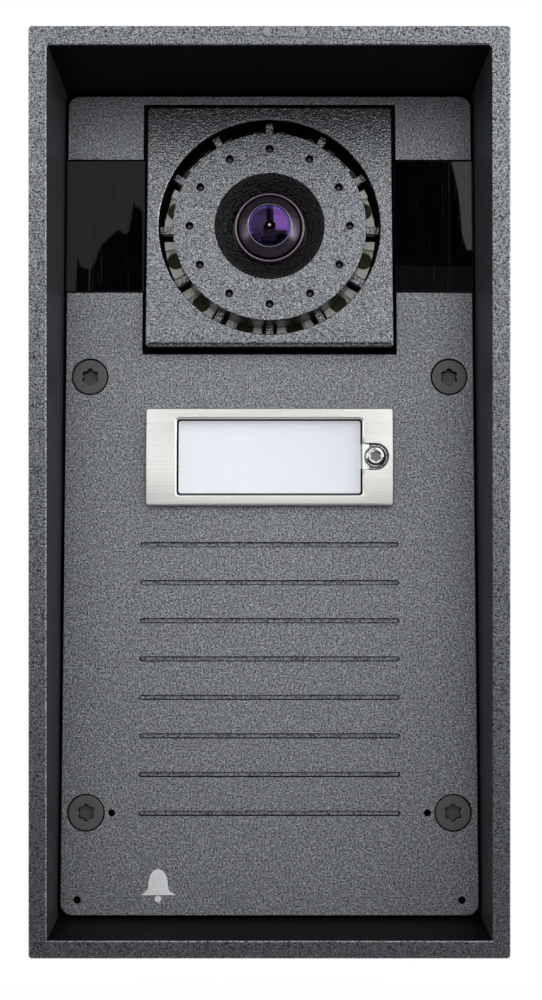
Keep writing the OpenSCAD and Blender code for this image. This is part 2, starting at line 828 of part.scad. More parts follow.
module front_lens() {
  color([0.16, 0.13, 0.35])
  union() {
    at(0, head_z, cone_w) cylinder(r = 6.3, h = 1.7);
    at(0, head_z, cone_w) cylinder(r = glass_r, h = 3.7);
    intersection() {
      at(0, head_z, cone_w + 3.7 + glass_bulge - dome_r) sphere(r = dome_r);
      at(0, head_z, cone_w + 3.6) cylinder(r = glass_r, h = 4);
    }
  }
}

module lens_lip_ring() {
  color([0.2, 0.19, 0.21])
  union() {
    ring(head_z, shoulder_w - 1.6, lip_top - shoulder_w + 1.6, lip_r, lip_r - lip_t);
    ring(head_z, shoulder_w - 1.6, 1, lens_seat_r, lip_r - lip_t);
  }
}

module lens_seal() {
  color([0.03, 0.03, 0.03])
  ring(head_z, shoulder_w - 0.6, 0.6, lens_seat_r, lens_bore_r);
}

module camera_board() {
  color([0.05, 0.22, 0.12])
  difference() {
    slab(camera_w, camera_t) translate([0, head_z]) square([30, 30], center = true);
    for (sx = [-1, 1], sz = [-1, 1])
      at(sx * camera_post, head_z + sz * camera_post, camera_w - 1) cylinder(r = 1.3, h = 4);
  }
}

module image_sensor() {
  color([0.15, 0.15, 0.2])
  slab(camera_front, 1.2) translate([0, head_z]) square([8.5, 8.5], center = true);
}

module camera_screws() {
  color([0.7, 0.7, 0.72])
  for (sx = [-1, 1], sz = [-1, 1])
    screw_in(sx * camera_post, head_z + sz * camera_post, camera_w, 1.9, 1.3, 1, camera_t + 4);
}

module camera_cable() {
  color([0.75, 0.55, 0.25])
  translate([0, 0, head_z - speaker_r]) across(8) polygon([
    [camera_w, 22], [camera_w - 0.35, 22], [camera_w - 0.35, -0.85],
    [main_front, -0.85], [main_front, -6], [main_front + 0.35, -6],
    [main_front + 0.35, -1.2], [camera_w, -1.2]]);
}

// ------------------------------------------------------------ call button

module tab_hole(r) {
  translate([tab_x, plate_z]) circle(r = r);
}

module button_plate() {
  color([0.72, 0.71, 0.69])
  difference() {
    intersection() {
      slab(plate_w0, plate_t) translate([0, plate_z]) round2(plate_w, plate_h, 0.6);
      translate([-plate_w, -plate_w0 - plate_t + crown_r, plate_z]) rotate([0, 90, 0])
        cylinder(r = crown_r, h = 2 * plate_w, $fn = 256);
    }
    slab(plate_w0 - 1, 5) translate([0, plate_z]) round2(pane_w, pane_h, 0.7);
    slab(plate_w0 + plate_t - 0.45, 3) translate([0, plate_z]) {
      translate([tab_x, 0]) circle(r = 3.2);
      box2(pane_w / 2 - 1, -3.2, tab_x, 3.2);
    }
    slab(plate_w0 - 1, 5) tab_hole(1.55);
  }
}

module name_window() {
  color([0.9, 0.92, 0.95, 0.35])
  union() {
    slab(plate_w0 - 1.6, 1.6) translate([0, plate_z])
      square([2 * seat_half_x - 0.4, 2 * seat_half_z - 0.4], center = true);
    slab(plate_w0 - eps, 1 + eps) translate([0, plate_z]) round2(pane_w - 0.4, pane_h - 0.4, 0.6);
  }
}

module name_card() {
  color([0.9, 0.91, 0.94])
  slab(plate_w0 - 2, 0.4) translate([0, plate_z])
    square([2 * seat_half_x - 0.6, 2 * seat_half_z - 0.6], center = true);
}

module light_diffuser() {
  color([0.93, 0.94, 0.95])
  slab(panel_back, plate_w0 - 2 - panel_back) translate([0, plate_z])
    square([2 * seat_half_x - 0.6, 2 * seat_half_z - 0.6], center = true);
}

module window_screw() {
  color([0.7, 0.69, 0.66])
  screw_out(tab_x, plate_z, plate_w0 + plate_t - 0.45, 2.75, 1.5, 1.25, 4.6);
}

module button_carrier() {
  color([0.1, 0.1, 0.11])
  difference() {
    union() {
      slab(tray_w, tray_t) translate([0, plate_z])
        box2(-hole_x0 - 2, -hole_half - 1.2, hole_x1 + 2, hole_half + 1.2);
      slab(panel_back - eps, plate_w0 - panel_back + eps) translate([0, plate_z])
        box2(-hole_x0 + neck_gap, -hole_half + neck_gap, hole_x1 - neck_gap, hole_half - neck_gap);
      for (s = [-1, 1]) at(s * guide_x, plate_z, bracket_w - 1.6)
        cylinder(r = guide_r, h = tray_w - bracket_w + 1.6 + eps);
    }
    slab(panel_back, 10) translate([0, plate_z]) square([2 * seat_half_x, 2 * seat_half_z], center = true);
    for (s = [-1, 1])
      slab(tray_w - 1, 5) translate([s * light_x, plate_z]) square([16, 12], center = true);
    slab(panel_back, 10) tab_hole(1.55);
  }
}

module button_bracket() {
  color([0.62, 0.63, 0.65])
  slab(bracket_w, board_b - bracket_w) translate([0, plate_z]) difference() {
    square([2 * bracket_x + 6, 2 * bracket_z + 6], center = true);
    for (s = [-1, 1], t = [-1, 1]) translate([s * bracket_x, t * bracket_z]) circle(r = 1.55);
    for (s = [-1, 1]) translate([s * guide_x, 0]) circle(r = guide_r + slip);
  }
}

module bracket_screws() {
  color([0.7, 0.7, 0.72])
  for (s = [-1, 1], t = [-1, 1])
    screw_in(s * bracket_x, plate_z + t * bracket_z, bracket_w, 2.2, 1.5, 1.25, 7);
}

module button_board() {
  color([0.05, 0.22, 0.12])
  slab(board_b, board_t) translate([0, plate_z]) difference() {
    square([2 * guide_x + 9, plate_h - 2.1], center = true);
    for (s = [-1, 1]) translate([s * guide_x, 0]) circle(r = guide_r + 0.35);
  }
}

module switch_body() {
  color([0.12, 0.12, 0.12])
  difference() {
    slab(cap_w, 3.5) translate([0, plate_z]) square([6.2, 6.2], center = true);
    at(0, plate_z, cap_floor_w) cylinder(r = plunger_r + slip, h = 10);
  }
}

module switch_plunger() {
  color([0.7, 0.68, 0.6])
  at(0, plate_z, plunger_w) cylinder(r = plunger_r, h = tray_w - plunger_w);
}

module return_springs() {
  color([0.75, 0.75, 0.77])
  for (s = [-1, 1]) at(s * guide_x, plate_z, cap_w)
    linear_extrude(height = tray_w - cap_w, twist = -360 * 4, slices = 48, $fn = 8) intersection() {
      ring2(2.5, 2.1);
      polygon([[0, 0], [4, -3], [4, 3]]);
    }
}

module button_leds() {
  color([0.95, 0.95, 0.9])
  for (s = [-1, 1], t = [-1, 1])
    slab(cap_w, 1) translate([s * light_x, plate_z + t * 4]) square([3.2, 2.6], center = true);
}

// ------------------------------------------------------------- main board

module main_board() {
  color([0.05, 0.2, 0.11])
  difference() {
    slab(main_w, board_t) translate([0, main_z]) square([board_w, board_h], center = true);
    for (s = [-1, 1], t = [-1, 1])
      at(s * main_x, main_z + t * main_hole_z, main_w - 1) cylinder(r = 1.8, h = 5);
  }
}

module processor() {
  color([0.08, 0.08, 0.09])
  slab(main_front, 1.4) translate([0, main_z - 2]) square([16, 16], center = true);
}

module board_capacitors() {
  color([0.1, 0.12, 0.2])
  for (p = [[12, 54], [12, 42], [24, 42]])
    at(p[0] - board_w / 2, main_low + p[1], main_front) cylinder(r = capacitor_r, h = capacitor_h);
}

module network_socket() {
  color([0.66, 0.67, 0.68])
  difference() {
    slab(main_front, 13.5) translate([socket_x, socket_z]) square([16, 21], center = true);
    slab(main_front + 2, 8) translate([socket_x, socket_z - 3]) square([12, 18], center = true);
  }
}

module terminal_block() {
  color([0.1, 0.35, 0.16])
  difference() {
    slab(main_front, 11) translate([terminal_x, terminal_z])
      square([terminal_n * terminal_pitch, 9], center = true);
    for (k = [0:terminal_n - 1]) {
      x = terminal_x + (k - (terminal_n - 1) / 2) * terminal_pitch;
      at(x, terminal_z + 1, main_front + 8) cylinder(r = 2, h = 6);
      slab(main_front + 2, 4) translate([x, terminal_z - 4]) square([4, 6], center = true);
    }
  }
}

module board_screws() {
  color([0.7, 0.7, 0.72])
  for (s = [-1, 1], t = [-1, 1])
    screw_out(s * main_x, main_z + t * main_hole_z, main_front, 2.7, 2, 1.5, 5.4);
}

// ------------------------------------------------------------ microphones

module microphone_boots() {
  color([0.04, 0.04, 0.04])
  for (s = [-1, 1]) difference() {
    slab(panel_back - 4, 4) translate([s * (mic_x - 1.3), lower_z]) square([6.2, 7], center = true);
    at(s * (mic_x - 1.2), lower_z, panel_back - 5) cylinder(r = 2.3, h = 3);
    at(s * mic_x, lower_z, panel_back - 5) cylinder(r = pinhole_r, h = 8);
  }
}

module microphones() {
  color([0.78, 0.76, 0.6])
  for (s = [-1, 1])
    at(s * (mic_x - 1.2), lower_z, panel_back - 3.8) cylinder(r = 2, h = 1.8);
}

// ------------------------------------------------------------------ output

housing();
cable_grommet();
panel_gasket();
front_panel();
panel_screws();
ir_window_left();
ir_window_right();
ir_led_boards();
ir_leds();
ir_board_screws();
camera_bezel();
bezel_gasket();
bezel_screws();
light_pipes();
lamp_board();
sound_ring();
acoustic_membrane();
speaker_chamber();
speaker_basket();
speaker_magnet();
speaker_yoke();
speaker_cone();
cone_surround();
voice_coil();
dust_cap();
spider();
speaker_screws();
lens_barrel();
lens_cone();
lens_lip_ring();
front_lens();
lens_trim_ring();
lens_holder();
lens_seal();
camera_board();
image_sensor();
camera_screws();
button_plate();
name_window();
name_card();
window_screw();
button_carrier();
light_diffuser();
button_board();
switch_body();
switch_plunger();
return_springs();
button_leds();
button_bracket();
bracket_screws();
main_board();
processor();
board_capacitors();
network_socket();
terminal_block();
board_screws();
microphones();
microphone_boots();
camera_cable();
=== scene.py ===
"""Looks of a wall-mounted video doorbell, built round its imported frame.

Metres throughout. The wall is the plane y = 0, the front faces -Y and +Z is up.
Each sub-assembly is a class that builds its meshes and dresses them in its finishes.
"""

import itertools
import logging
import math
from dataclasses import dataclass
from enum import Enum
from functools import cache
from typing import Callable, ClassVar, Optional, Union

import bmesh
import bpy
from mathutils import Matrix, Vector


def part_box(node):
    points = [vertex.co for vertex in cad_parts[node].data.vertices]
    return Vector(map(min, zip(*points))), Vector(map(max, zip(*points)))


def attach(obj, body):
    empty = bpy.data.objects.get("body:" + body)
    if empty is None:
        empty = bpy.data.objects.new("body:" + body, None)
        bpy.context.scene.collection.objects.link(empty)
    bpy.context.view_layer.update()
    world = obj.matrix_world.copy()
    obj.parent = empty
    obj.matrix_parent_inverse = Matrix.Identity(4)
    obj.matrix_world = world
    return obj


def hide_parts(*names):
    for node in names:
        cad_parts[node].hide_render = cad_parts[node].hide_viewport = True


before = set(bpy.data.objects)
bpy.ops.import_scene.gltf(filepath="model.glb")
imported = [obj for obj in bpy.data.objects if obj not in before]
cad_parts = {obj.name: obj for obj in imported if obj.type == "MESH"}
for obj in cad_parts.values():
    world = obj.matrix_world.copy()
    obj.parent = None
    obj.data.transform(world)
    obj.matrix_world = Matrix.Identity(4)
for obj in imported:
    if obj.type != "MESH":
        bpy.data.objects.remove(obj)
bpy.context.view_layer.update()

MM = 0.001
LOBE_TURN = math.pi / 6
FULL_TURN = 2 * math.pi
LOG = logging.getLogger("video_doorbell")

Colour = tuple[float, float, float]
Place = tuple[float, float]
Socket = bpy.types.NodeSocket
Node = bpy.types.Node
Link = Union[Socket, float, Colour, tuple[float, float, float, float]]
BMesh = bmesh.types.BMesh
BMEdge = bmesh.types.BMEdge
BMFace = bmesh.types.BMFace
BMVert = bmesh.types.BMVert
EdgeTest = Callable[[BMEdge], bool]
Outfit = tuple[tuple["Finish", str], ...]
Thing = bpy.types.Object


# --------------------------------------------------------------------- shader graphs


class Graph:
    """Adds nodes to one tree and joins them with short calls."""

    def __init__(self, tree: bpy.types.NodeTree) -> None:
        """Keeps the tree that the nodes go into."""
        self.tree = tree

    def put(self, socket: Socket, value: Link) -> None:
        """Links a socket to another one, or sets its constant.

        Args:
            socket: the input to feed.
            value: an output socket, a number or a colour.
        """
        if isinstance(value, Socket):
            self.tree.links.new(value, socket)
        elif isinstance(value, tuple) and len(value) == 3 and socket.type == "RGBA":
            socket.default_value = (*value, 1.0)
        else:
            socket.default_value = value

    def feed(self, node: Node, feeds: dict) -> Node:
        """Puts values into a node's inputs.

        Args:
            node: the node.
            feeds: what goes into its inputs, by name or number.

        Returns:
            The node.
        """
        for key, value in feeds.items():
            self.put(node.inputs[key], value)
        return node

    def add(self, kind: str, feeds: Optional[dict] = None, **settings: object) -> Node:
        """Adds one node.

        Args:
            kind: the node's type name.
            feeds: what goes into its inputs, by name or number.
            settings: the node's own properties.

        Returns:
            The new node.
        """
        node = self.tree.nodes.new(kind)
        for key, value in settings.items():
            setattr(node, key, value)
        return self.feed(node, feeds or {})

    def math(self, operation: str, *values: Link) -> Socket:
        """Adds a math node and returns its output."""
        return self.add("ShaderNodeMath", dict(enumerate(values)), operation=operation).outputs[0]

    def mixed(self, first: Link, share: float, second: Link) -> Socket:
        """Adds two tones, the first in the given share and the second in the rest."""
        rest = self.math("MULTIPLY", second, 1.0 - share)
        return self.math("ADD", self.math("MULTIPLY", first, share), rest)

    def distance(self, x: Link, z: Link) -> Socket:
        """How far a place lies from the axis."""
        return self.math("SQRT", self.math("ADD", self.math("POWER", x, 2.0), self.math("POWER", z, 2.0)))

    def spread(self, value: Link, low: float, high: float, to_low: float = 0.0,
               to_high: float = 1.0) -> Socket:
        """Stretches a value from one range to another, held at both ends."""
        return self.add("ShaderNodeMapRange", {0: value, 1: low, 2: high, 3: to_low, 4: to_high}).outputs[0]

    def level(self, tone: Link, low: float, high: float) -> Socket:
        """A tone from 0 to 1, stretched between two values."""
        return self.spread(tone, 0.0, 1.0, low, high)

    def blend(self, factor: Link, a: Link, b: Link, kind: str = "MIX") -> Socket:
        """Mixes two colours; the factor is the share of the second one."""
        mix = self.add("ShaderNodeMix", {0: factor, 6: a, 7: b}, data_type="RGBA", blend_type=kind)
        return mix.outputs[2]

    def place(self) -> Socket:
        """The point on the piece, in metres in the object's own frame."""
        return self.add("ShaderNodeTexCoord").outputs["Object"]

    def mapped(self, offset: Colour = (0, 0, 0), scale: Colour = (1, 1, 1)) -> Socket:
        """The point on the piece, stretched along each axis and then moved."""
        feeds = {"Vector": self.place(), "Location": offset, "Scale": scale}
        return self.add("ShaderNodeMapping", feeds).outputs[0]

    def noise(self, point: Link, scale: Link, detail: float = 1.0, rough: float = 0.5) -> Socket:
        """A smooth random value from 0 to 1, with that many cells in a metre and finer layers added."""
        feeds = {"Vector": point, "Scale": scale, "Detail": detail, "Roughness": rough}
        return self.add("ShaderNodeTexNoise", feeds).outputs[0]

    def bump(self, height: Link, strength: float, distance: float) -> Socket:
        """Turns a height from 0 to 1 into a normal; the distance is the real height of 1."""
        feeds = {"Strength": strength, "Distance": distance, "Height": height}
        return self.add("ShaderNodeBump", feeds).outputs[0]

    def effect(self, name: str, **feeds: Link) -> Node:
        """Places the shared effect of that name, fed by input name."""
        return self.feed(self.add("ShaderNodeGroup", node_tree=EFFECTS[name].tree()), feeds)

    def grain(self, size: float) -> Socket:
        """The tone of sprayed grain over the piece."""
        return self.effect("grain", Point=self.place(), Size=size).outputs["Tone"]

    def drift(self, size: float) -> Socket:
        """A slow drift of tone over the piece."""
        return self.effect("mottle", Point=self.place(), Size=size).outputs["Tone"]


@dataclass(frozen=True)
class Effect:
    """A shader node group that is built once and placed in many materials."""

    name: str
    size: float
    outputs: tuple[str, ...]
    body: Callable[[Graph, Link, Link], dict]

    def tree(self) -> bpy.types.NodeTree:
        """The group's tree, built on first use."""
        known = bpy.data.node_groups.get(self.name)
        if known:
            return known
        tree = bpy.data.node_groups.new(self.name, "ShaderNodeTree")
        tree.interface.new_socket(name="Point", in_out="INPUT", socket_type="NodeSocketVector")
        size = tree.interface.new_socket(name="Size", in_out="INPUT", socket_type="NodeSocketFloat")
        size.default_value = self.size
        for name in self.outputs:
            tree.interface.new_socket(name=name, in_out="OUTPUT", socket_type="NodeSocketFloat")
        graph = Graph(tree)
        start = graph.add("NodeGroupInput").outputs
        scale = graph.math("DIVIDE", 1.0, start["Size"])
        graph.add("NodeGroupOutput", self.body(graph, start["Point"], scale))
        return tree


def grain_body(g: Graph, point: Link, scale: Link) -> dict:
    """Sprayed grain: soft cells with scattered bright and dark specks.

    Args:
        g: the group's graph.
        point: where it is read.
        scale: cells in a metre.

    Returns:
        Tone, Speck, Height and Hue.
    """
    tone = g.spread(g.noise(point, scale, 1.0, 0.6), 0.3, 0.7)
    spots = g.add("ShaderNodeTexVoronoi", {"Vector": point, "Scale": g.math("MULTIPLY", scale, 1.1)})
    parts = g.add("ShaderNodeSeparateColor", {0: spots.outputs["Color"]})
    pick = g.math("GREATER_THAN", parts.outputs[0], 0.76)
    speck = g.math("MULTIPLY", pick, g.spread(spots.outputs["Distance"], 0.2, 0.5, 1.0, 0.0))
    height = g.math("ADD", tone, g.math("MULTIPLY", speck, 0.6))
    return {"Tone": tone, "Speck": speck, "Height": height, "Hue": parts.outputs[1]}


def relief_body(g: Graph, point: Link, scale: Link) -> dict:
    """Moulded leather-like relief.

    Args:
        g: the group's graph.
        point: where it is read.
        scale: cells in a metre.

    Returns:
        Height.
    """
    warp = g.noise(point, g.math("MULTIPLY", scale, 0.7), 2.0, 0.6)
    feeds = {"Vector": point, "Scale": scale, "Smoothness": 0.6}
    cells = g.add("ShaderNodeTexVoronoi", feeds, feature="SMOOTH_F1").outputs["Distance"]
    return {"Height": g.math("ADD", g.math("MULTIPLY", cells, 0.8), g.math("MULTIPLY", warp, 0.9))}


def mottle_body(g: Graph, point: Link, scale: Link) -> dict:
    """Slow drift of tone over a surface."""
    return {"Tone": g.spread(g.noise(point, scale, 3.0, 0.55), 0.3, 0.7)}


def rings_body(g: Graph, point: Link, scale: Link) -> dict:
    """Fine turning marks round the Y axis through the point's origin.

    Args:
        g: the group's graph.
        point: where it is read.
        scale: cells in a metre.

    Returns:
        Tone.
    """
    x, y, z = g.add("ShaderNodeSeparateXYZ", {0: point}).outputs
    line = g.add("ShaderNodeCombineXYZ", {0: g.distance(x, z), 1: g.math("MULTIPLY", y, 0.7)})
    return {"Tone": g.noise(line.outputs[0], scale, 2.0, 0.7)}


def weave_body(g: Graph, point: Link, scale: Link) -> dict:
    """Plain over-and-under weave in X and Z.

    Args:
        g: the group's graph.
        point: where it is read.
        scale: threads in a metre.

    Returns:
        Tone.
    """
    feeds = {"Vector": point, "Scale": g.math("MULTIPLY", scale, 0.3), "Distortion": 0.6}
    warp, weft = (g.add("ShaderNodeTexWave", feeds, bands_direction=way).outputs["Fac"] for way in "XZ")
    return {"Tone": g.math("MULTIPLY", warp, weft)}


EFFECTS = {
    "grain": Effect("sprayed_grain", 0.0004, ("Tone", "Speck", "Height", "Hue"), grain_body),
    "relief": Effect("moulded_relief", 0.0008, ("Height",), relief_body),
    "mottle": Effect("slow_mottle", 0.03, ("Tone",), mottle_body),
    "rings": Effect("turning_marks", 0.0001, ("Tone",), rings_body),
    "weave": Effect("plain_weave", 0.0004, ("Tone",), weave_body),
}


# -------------------------------------------------------------------------- finishes


def blank_material(name: str) -> tuple[bpy.types.Material, Graph]:
    """Makes an empty material.

    Args:
        name: the material's name.

    Returns:
        The material and its graph.
    """
    made = bpy.data.materials.new(name)
    made.use_nodes = True
    made.node_tree.nodes.clear()
    return made, Graph(made.node_tree)


@dataclass(frozen=True)
class Finish:
    """A surface finish with its own procedural material."""

    name: str
    colour: Colour
    rough: float = 0.5

    def material(self) -> bpy.types.Material:
        """The finish's material, built on first use."""
        known = bpy.data.materials.get(self.name)
        if known:
            return known
        made, graph = blank_material(self.name)
        made.diffuse_color = (*self.colour, 1.0)
        shader = graph.add("ShaderNodeBsdfPrincipled", {"Base Color": self.colour, "Roughness": self.rough})
        graph.feed(shader, self.shade(graph))
        graph.add("ShaderNodeOutputMaterial", {"Surface": self.surface(graph, shader)})
        return made

    def shade(self, g: Graph) -> dict:
        """What feeds the shader, by input name; each finish has its own."""
        raise NotImplementedError

    def surface(self, g: Graph, shader: Node) -> Socket:
        """What goes to the material's output."""
        return shader.outputs[0]

    def scaled(self, share: float) -> Colour:
        """The finish's colour made darker or lighter."""
        return tuple(c * share for c in self.colour)

    def tinted(self, g: Graph, tone: Link, low: float, high: float) -> Socket:
        """The finish's colour, times the low share where a tone is 0 and the high one where it is 1."""
        dark, light = (tuple(min(1.0, c) for c in self.scaled(share)) for share in (low, high))
        return g.blend(tone, dark, light)


@dataclass(frozen=True)
class PowderCoat(Finish):
    """Metallic powder coat with sprayed grain and bright flecks."""

    metallic: float = 0.75
    grain: float = 0.42 * MM
    contrast: float = 0.9
    fleck: Colour = (0.6, 0.63, 0.7)
    fleck_share: float = 0.7
    relief: float = 0.0
    relief_size: float = 0.6 * MM
    depth: float = 0.05 * MM
    specular: float = 0.5

    def shade(self, g: Graph) -> dict:
        """Grain in colour, roughness and height, with a slow drift of tone.

        Args:
            g: the material's graph.

        Returns:
            The shader's inputs by name.
        """
        grain = g.effect("grain", Point=g.place(), Size=self.grain).outputs
        coat = self.tinted(g, grain["Tone"], 1.0 - self.contrast, 1.0 + self.contrast)
        coat = g.blend(g.math("MULTIPLY", g.drift(0.05), 0.12), coat, self.scaled(0.75))
        coat = g.blend(g.math("MULTIPLY", grain["Speck"], self.fleck_share), coat, self.fleck)
        hue = g.blend(grain["Hue"], (1.05, 1.0, 0.93), (0.95, 1.0, 1.07))
        height = g.math("MULTIPLY", grain["Height"], 0.5)
        if self.relief:
            hills = g.effect("relief", Point=g.place(), Size=self.relief_size).outputs["Height"]
            height = g.math("ADD", height, g.math("MULTIPLY", hills, self.relief))
        return {"Base Color": g.blend(1.0, coat, hue, "MULTIPLY"), "Metallic": self.metallic,
                "Specular IOR Level": self.specular, "Normal": g.bump(height, 1.0, self.depth),
                "Roughness": g.level(grain["Tone"], self.rough + 0.08, self.rough - 0.08)}


@dataclass(frozen=True)
class Lacquer(Finish):
    """Smooth thin paint with a faint orange peel."""

    ior: float = 1.08

    def shade(self, g: Graph) -> dict:
        """A slow drift of tone and a fine peel.

        Args:
            g: the material's graph.

        Returns:
            The shader's inputs by name.
        """
        drift, peel = g.drift(0.02), g.grain(0.5 * MM)
        paint = self.tinted(g, drift, 0.85, 1.15)
        return {"Base Color": g.blend(g.math("MULTIPLY", peel, 0.3), paint, self.scaled(2.0)),
                "IOR": self.ior, "Roughness": g.level(drift, self.rough - 0.04, self.rough + 0.04),
                "Normal": g.bump(peel, 0.25, 0.01 * MM)}


@dataclass(frozen=True)
class Moulding(Finish):
    """Moulded plastic, rubber or paper with a fine etched grain."""

    grain: float = 0.3 * MM
    depth: float = 0.02 * MM
    spread: float = 0.18
    specular: float = 0.5

    def shade(self, g: Graph) -> dict:
        """Etched grain over a slow drift of tone.

        Args:
            g: the material's graph.

        Returns:
            The shader's inputs by name.
        """
        grain = g.grain(self.grain)
        tone = g.mixed(grain, 0.6, g.drift(0.012))
        return {"Base Color": self.tinted(g, tone, 1.0 - self.spread, 1.0 + self.spread),
                "Roughness": g.level(grain, max(0.02, self.rough - 0.06), min(1.0, self.rough + 0.06)),
                "Specular IOR Level": self.specular, "Normal": g.bump(grain, 0.4, self.depth)}


@dataclass(frozen=True)
class BacklitCard(Finish):
    """Translucent paper or pale plastic that gives off a little light: a backlight on the name card that also
    stands in for lamp light it lacks, and painted light on the sound ring.
    """

    glow: Colour = (0.07, 0.07, 0.08)

    def shade(self, g: Graph) -> dict:
        """Paper fibres in colour and in the light that comes through.

        Args:
            g: the material's graph.

        Returns:
            The shader's inputs by name.
        """
        fibres = g.grain(0.25 * MM)
        dim = tuple(c * 0.96 for c in self.glow)
        return {"Base Color": self.tinted(g, fibres, 0.985, 1.015), "Emission Strength": 1.0,
                "Emission Color": g.blend(g.drift(0.02), dim, self.glow),
                "Normal": g.bump(fibres, 0.3, 0.01 * MM)}


class Marks(Enum):
    """How the marks of the tool run on a metal part."""

    ALONG_X = (40.0, 900.0, 5200.0)
    EVEN = (900.0, 900.0, 900.0)


@dataclass(frozen=True)
class Metal(Finish):
    """Brushed or plated metal."""

    marks: Marks = Marks.EVEN
    depth: float = 0.004 * MM
    spread: float = 0.08

    def shade(self, g: Graph) -> dict:
        """Fine marks in colour, roughness and height.

        Args:
            g: the material's graph.

        Returns:
            The shader's inputs by name.
        """
        marks = g.noise(g.mapped(scale=self.marks.value), 1.0, 3.0, 0.7)
        tone = g.mixed(g.spread(marks, 0.3, 0.7), 0.7, g.drift(0.015))
        return {"Base Color": self.tinted(g, tone, 1.0 - self.spread, 1.0 + self.spread), "Metallic": 1.0,
                "Roughness": g.spread(marks, 0.3, 0.7, max(0.02, self.rough - 0.05), self.rough + 0.05),
                "Normal": g.bump(marks, 0.5, self.depth)}


@dataclass(frozen=True)
class TurnedMetal(Finish):
    """Anodised metal with turning marks round the lens."""

    centre: Colour = (0.0, 0.0, 0.0)

    def shade(self, g: Graph) -> dict:
        """Turning marks in colour, roughness and height.

        Args:
            g: the material's graph.

        Returns:
            The shader's inputs by name.
        """
        point = g.mapped(offset=tuple(-c for c in self.centre))
        marks = g.effect("rings", Point=point, Size=0.16 * MM).outputs["Tone"]
        return {"Base Color": self.tinted(g, g.spread(marks, 0.3, 0.7), 0.9, 1.1), "Metallic": 0.9,
                "Roughness": g.spread(marks, 0.3, 0.7, self.rough - 0.06, self.rough + 0.06),
                "Normal": g.bump(marks, 0.4, 0.003 * MM)}


@dataclass(frozen=True)
class Polished(Finish):
    """Polished plastic with wiping marks, such as a dark window whose outer strip leans inwards."""

    ior: float = 1.5
    tint: Colour = (1.0, 1.0, 1.0)
    scratch: float = 0.02
    bend: float = 0.0
    flat_reach: float = 45.5 * MM

    def shade(self, g: Graph) -> dict:
        """Faint upright wiping marks over a near-even colour.

        Args:
            g: the material's graph.

        Returns:
            The shader's inputs by name.
        """
        wipes = g.noise(g.mapped(scale=(2600.0, 400.0, 60.0)), 1.0, 2.0, 0.6)
        marks = g.spread(wipes, 0.62, 0.78)
        base = self.tinted(g, g.drift(0.02), 0.8, 1.2)
        feeds = {"Base Color": g.blend(g.math("MULTIPLY", marks, self.scratch), base, (0.5, 0.55, 0.7)),
                 "Roughness": g.level(marks, self.rough, self.rough + 0.12),
                 "IOR": self.ior, "Specular Tint": self.tint}
        if self.bend:
            across = g.math("ABSOLUTE", g.add("ShaderNodeSeparateXYZ", {0: g.place()}).outputs[0])
            past = g.math("MAXIMUM", g.math("SUBTRACT", across, self.flat_reach), 0.0)
            feeds["Normal"] = g.bump(g.math("MULTIPLY", past, self.bend / MM), 1.0, MM)
        return feeds


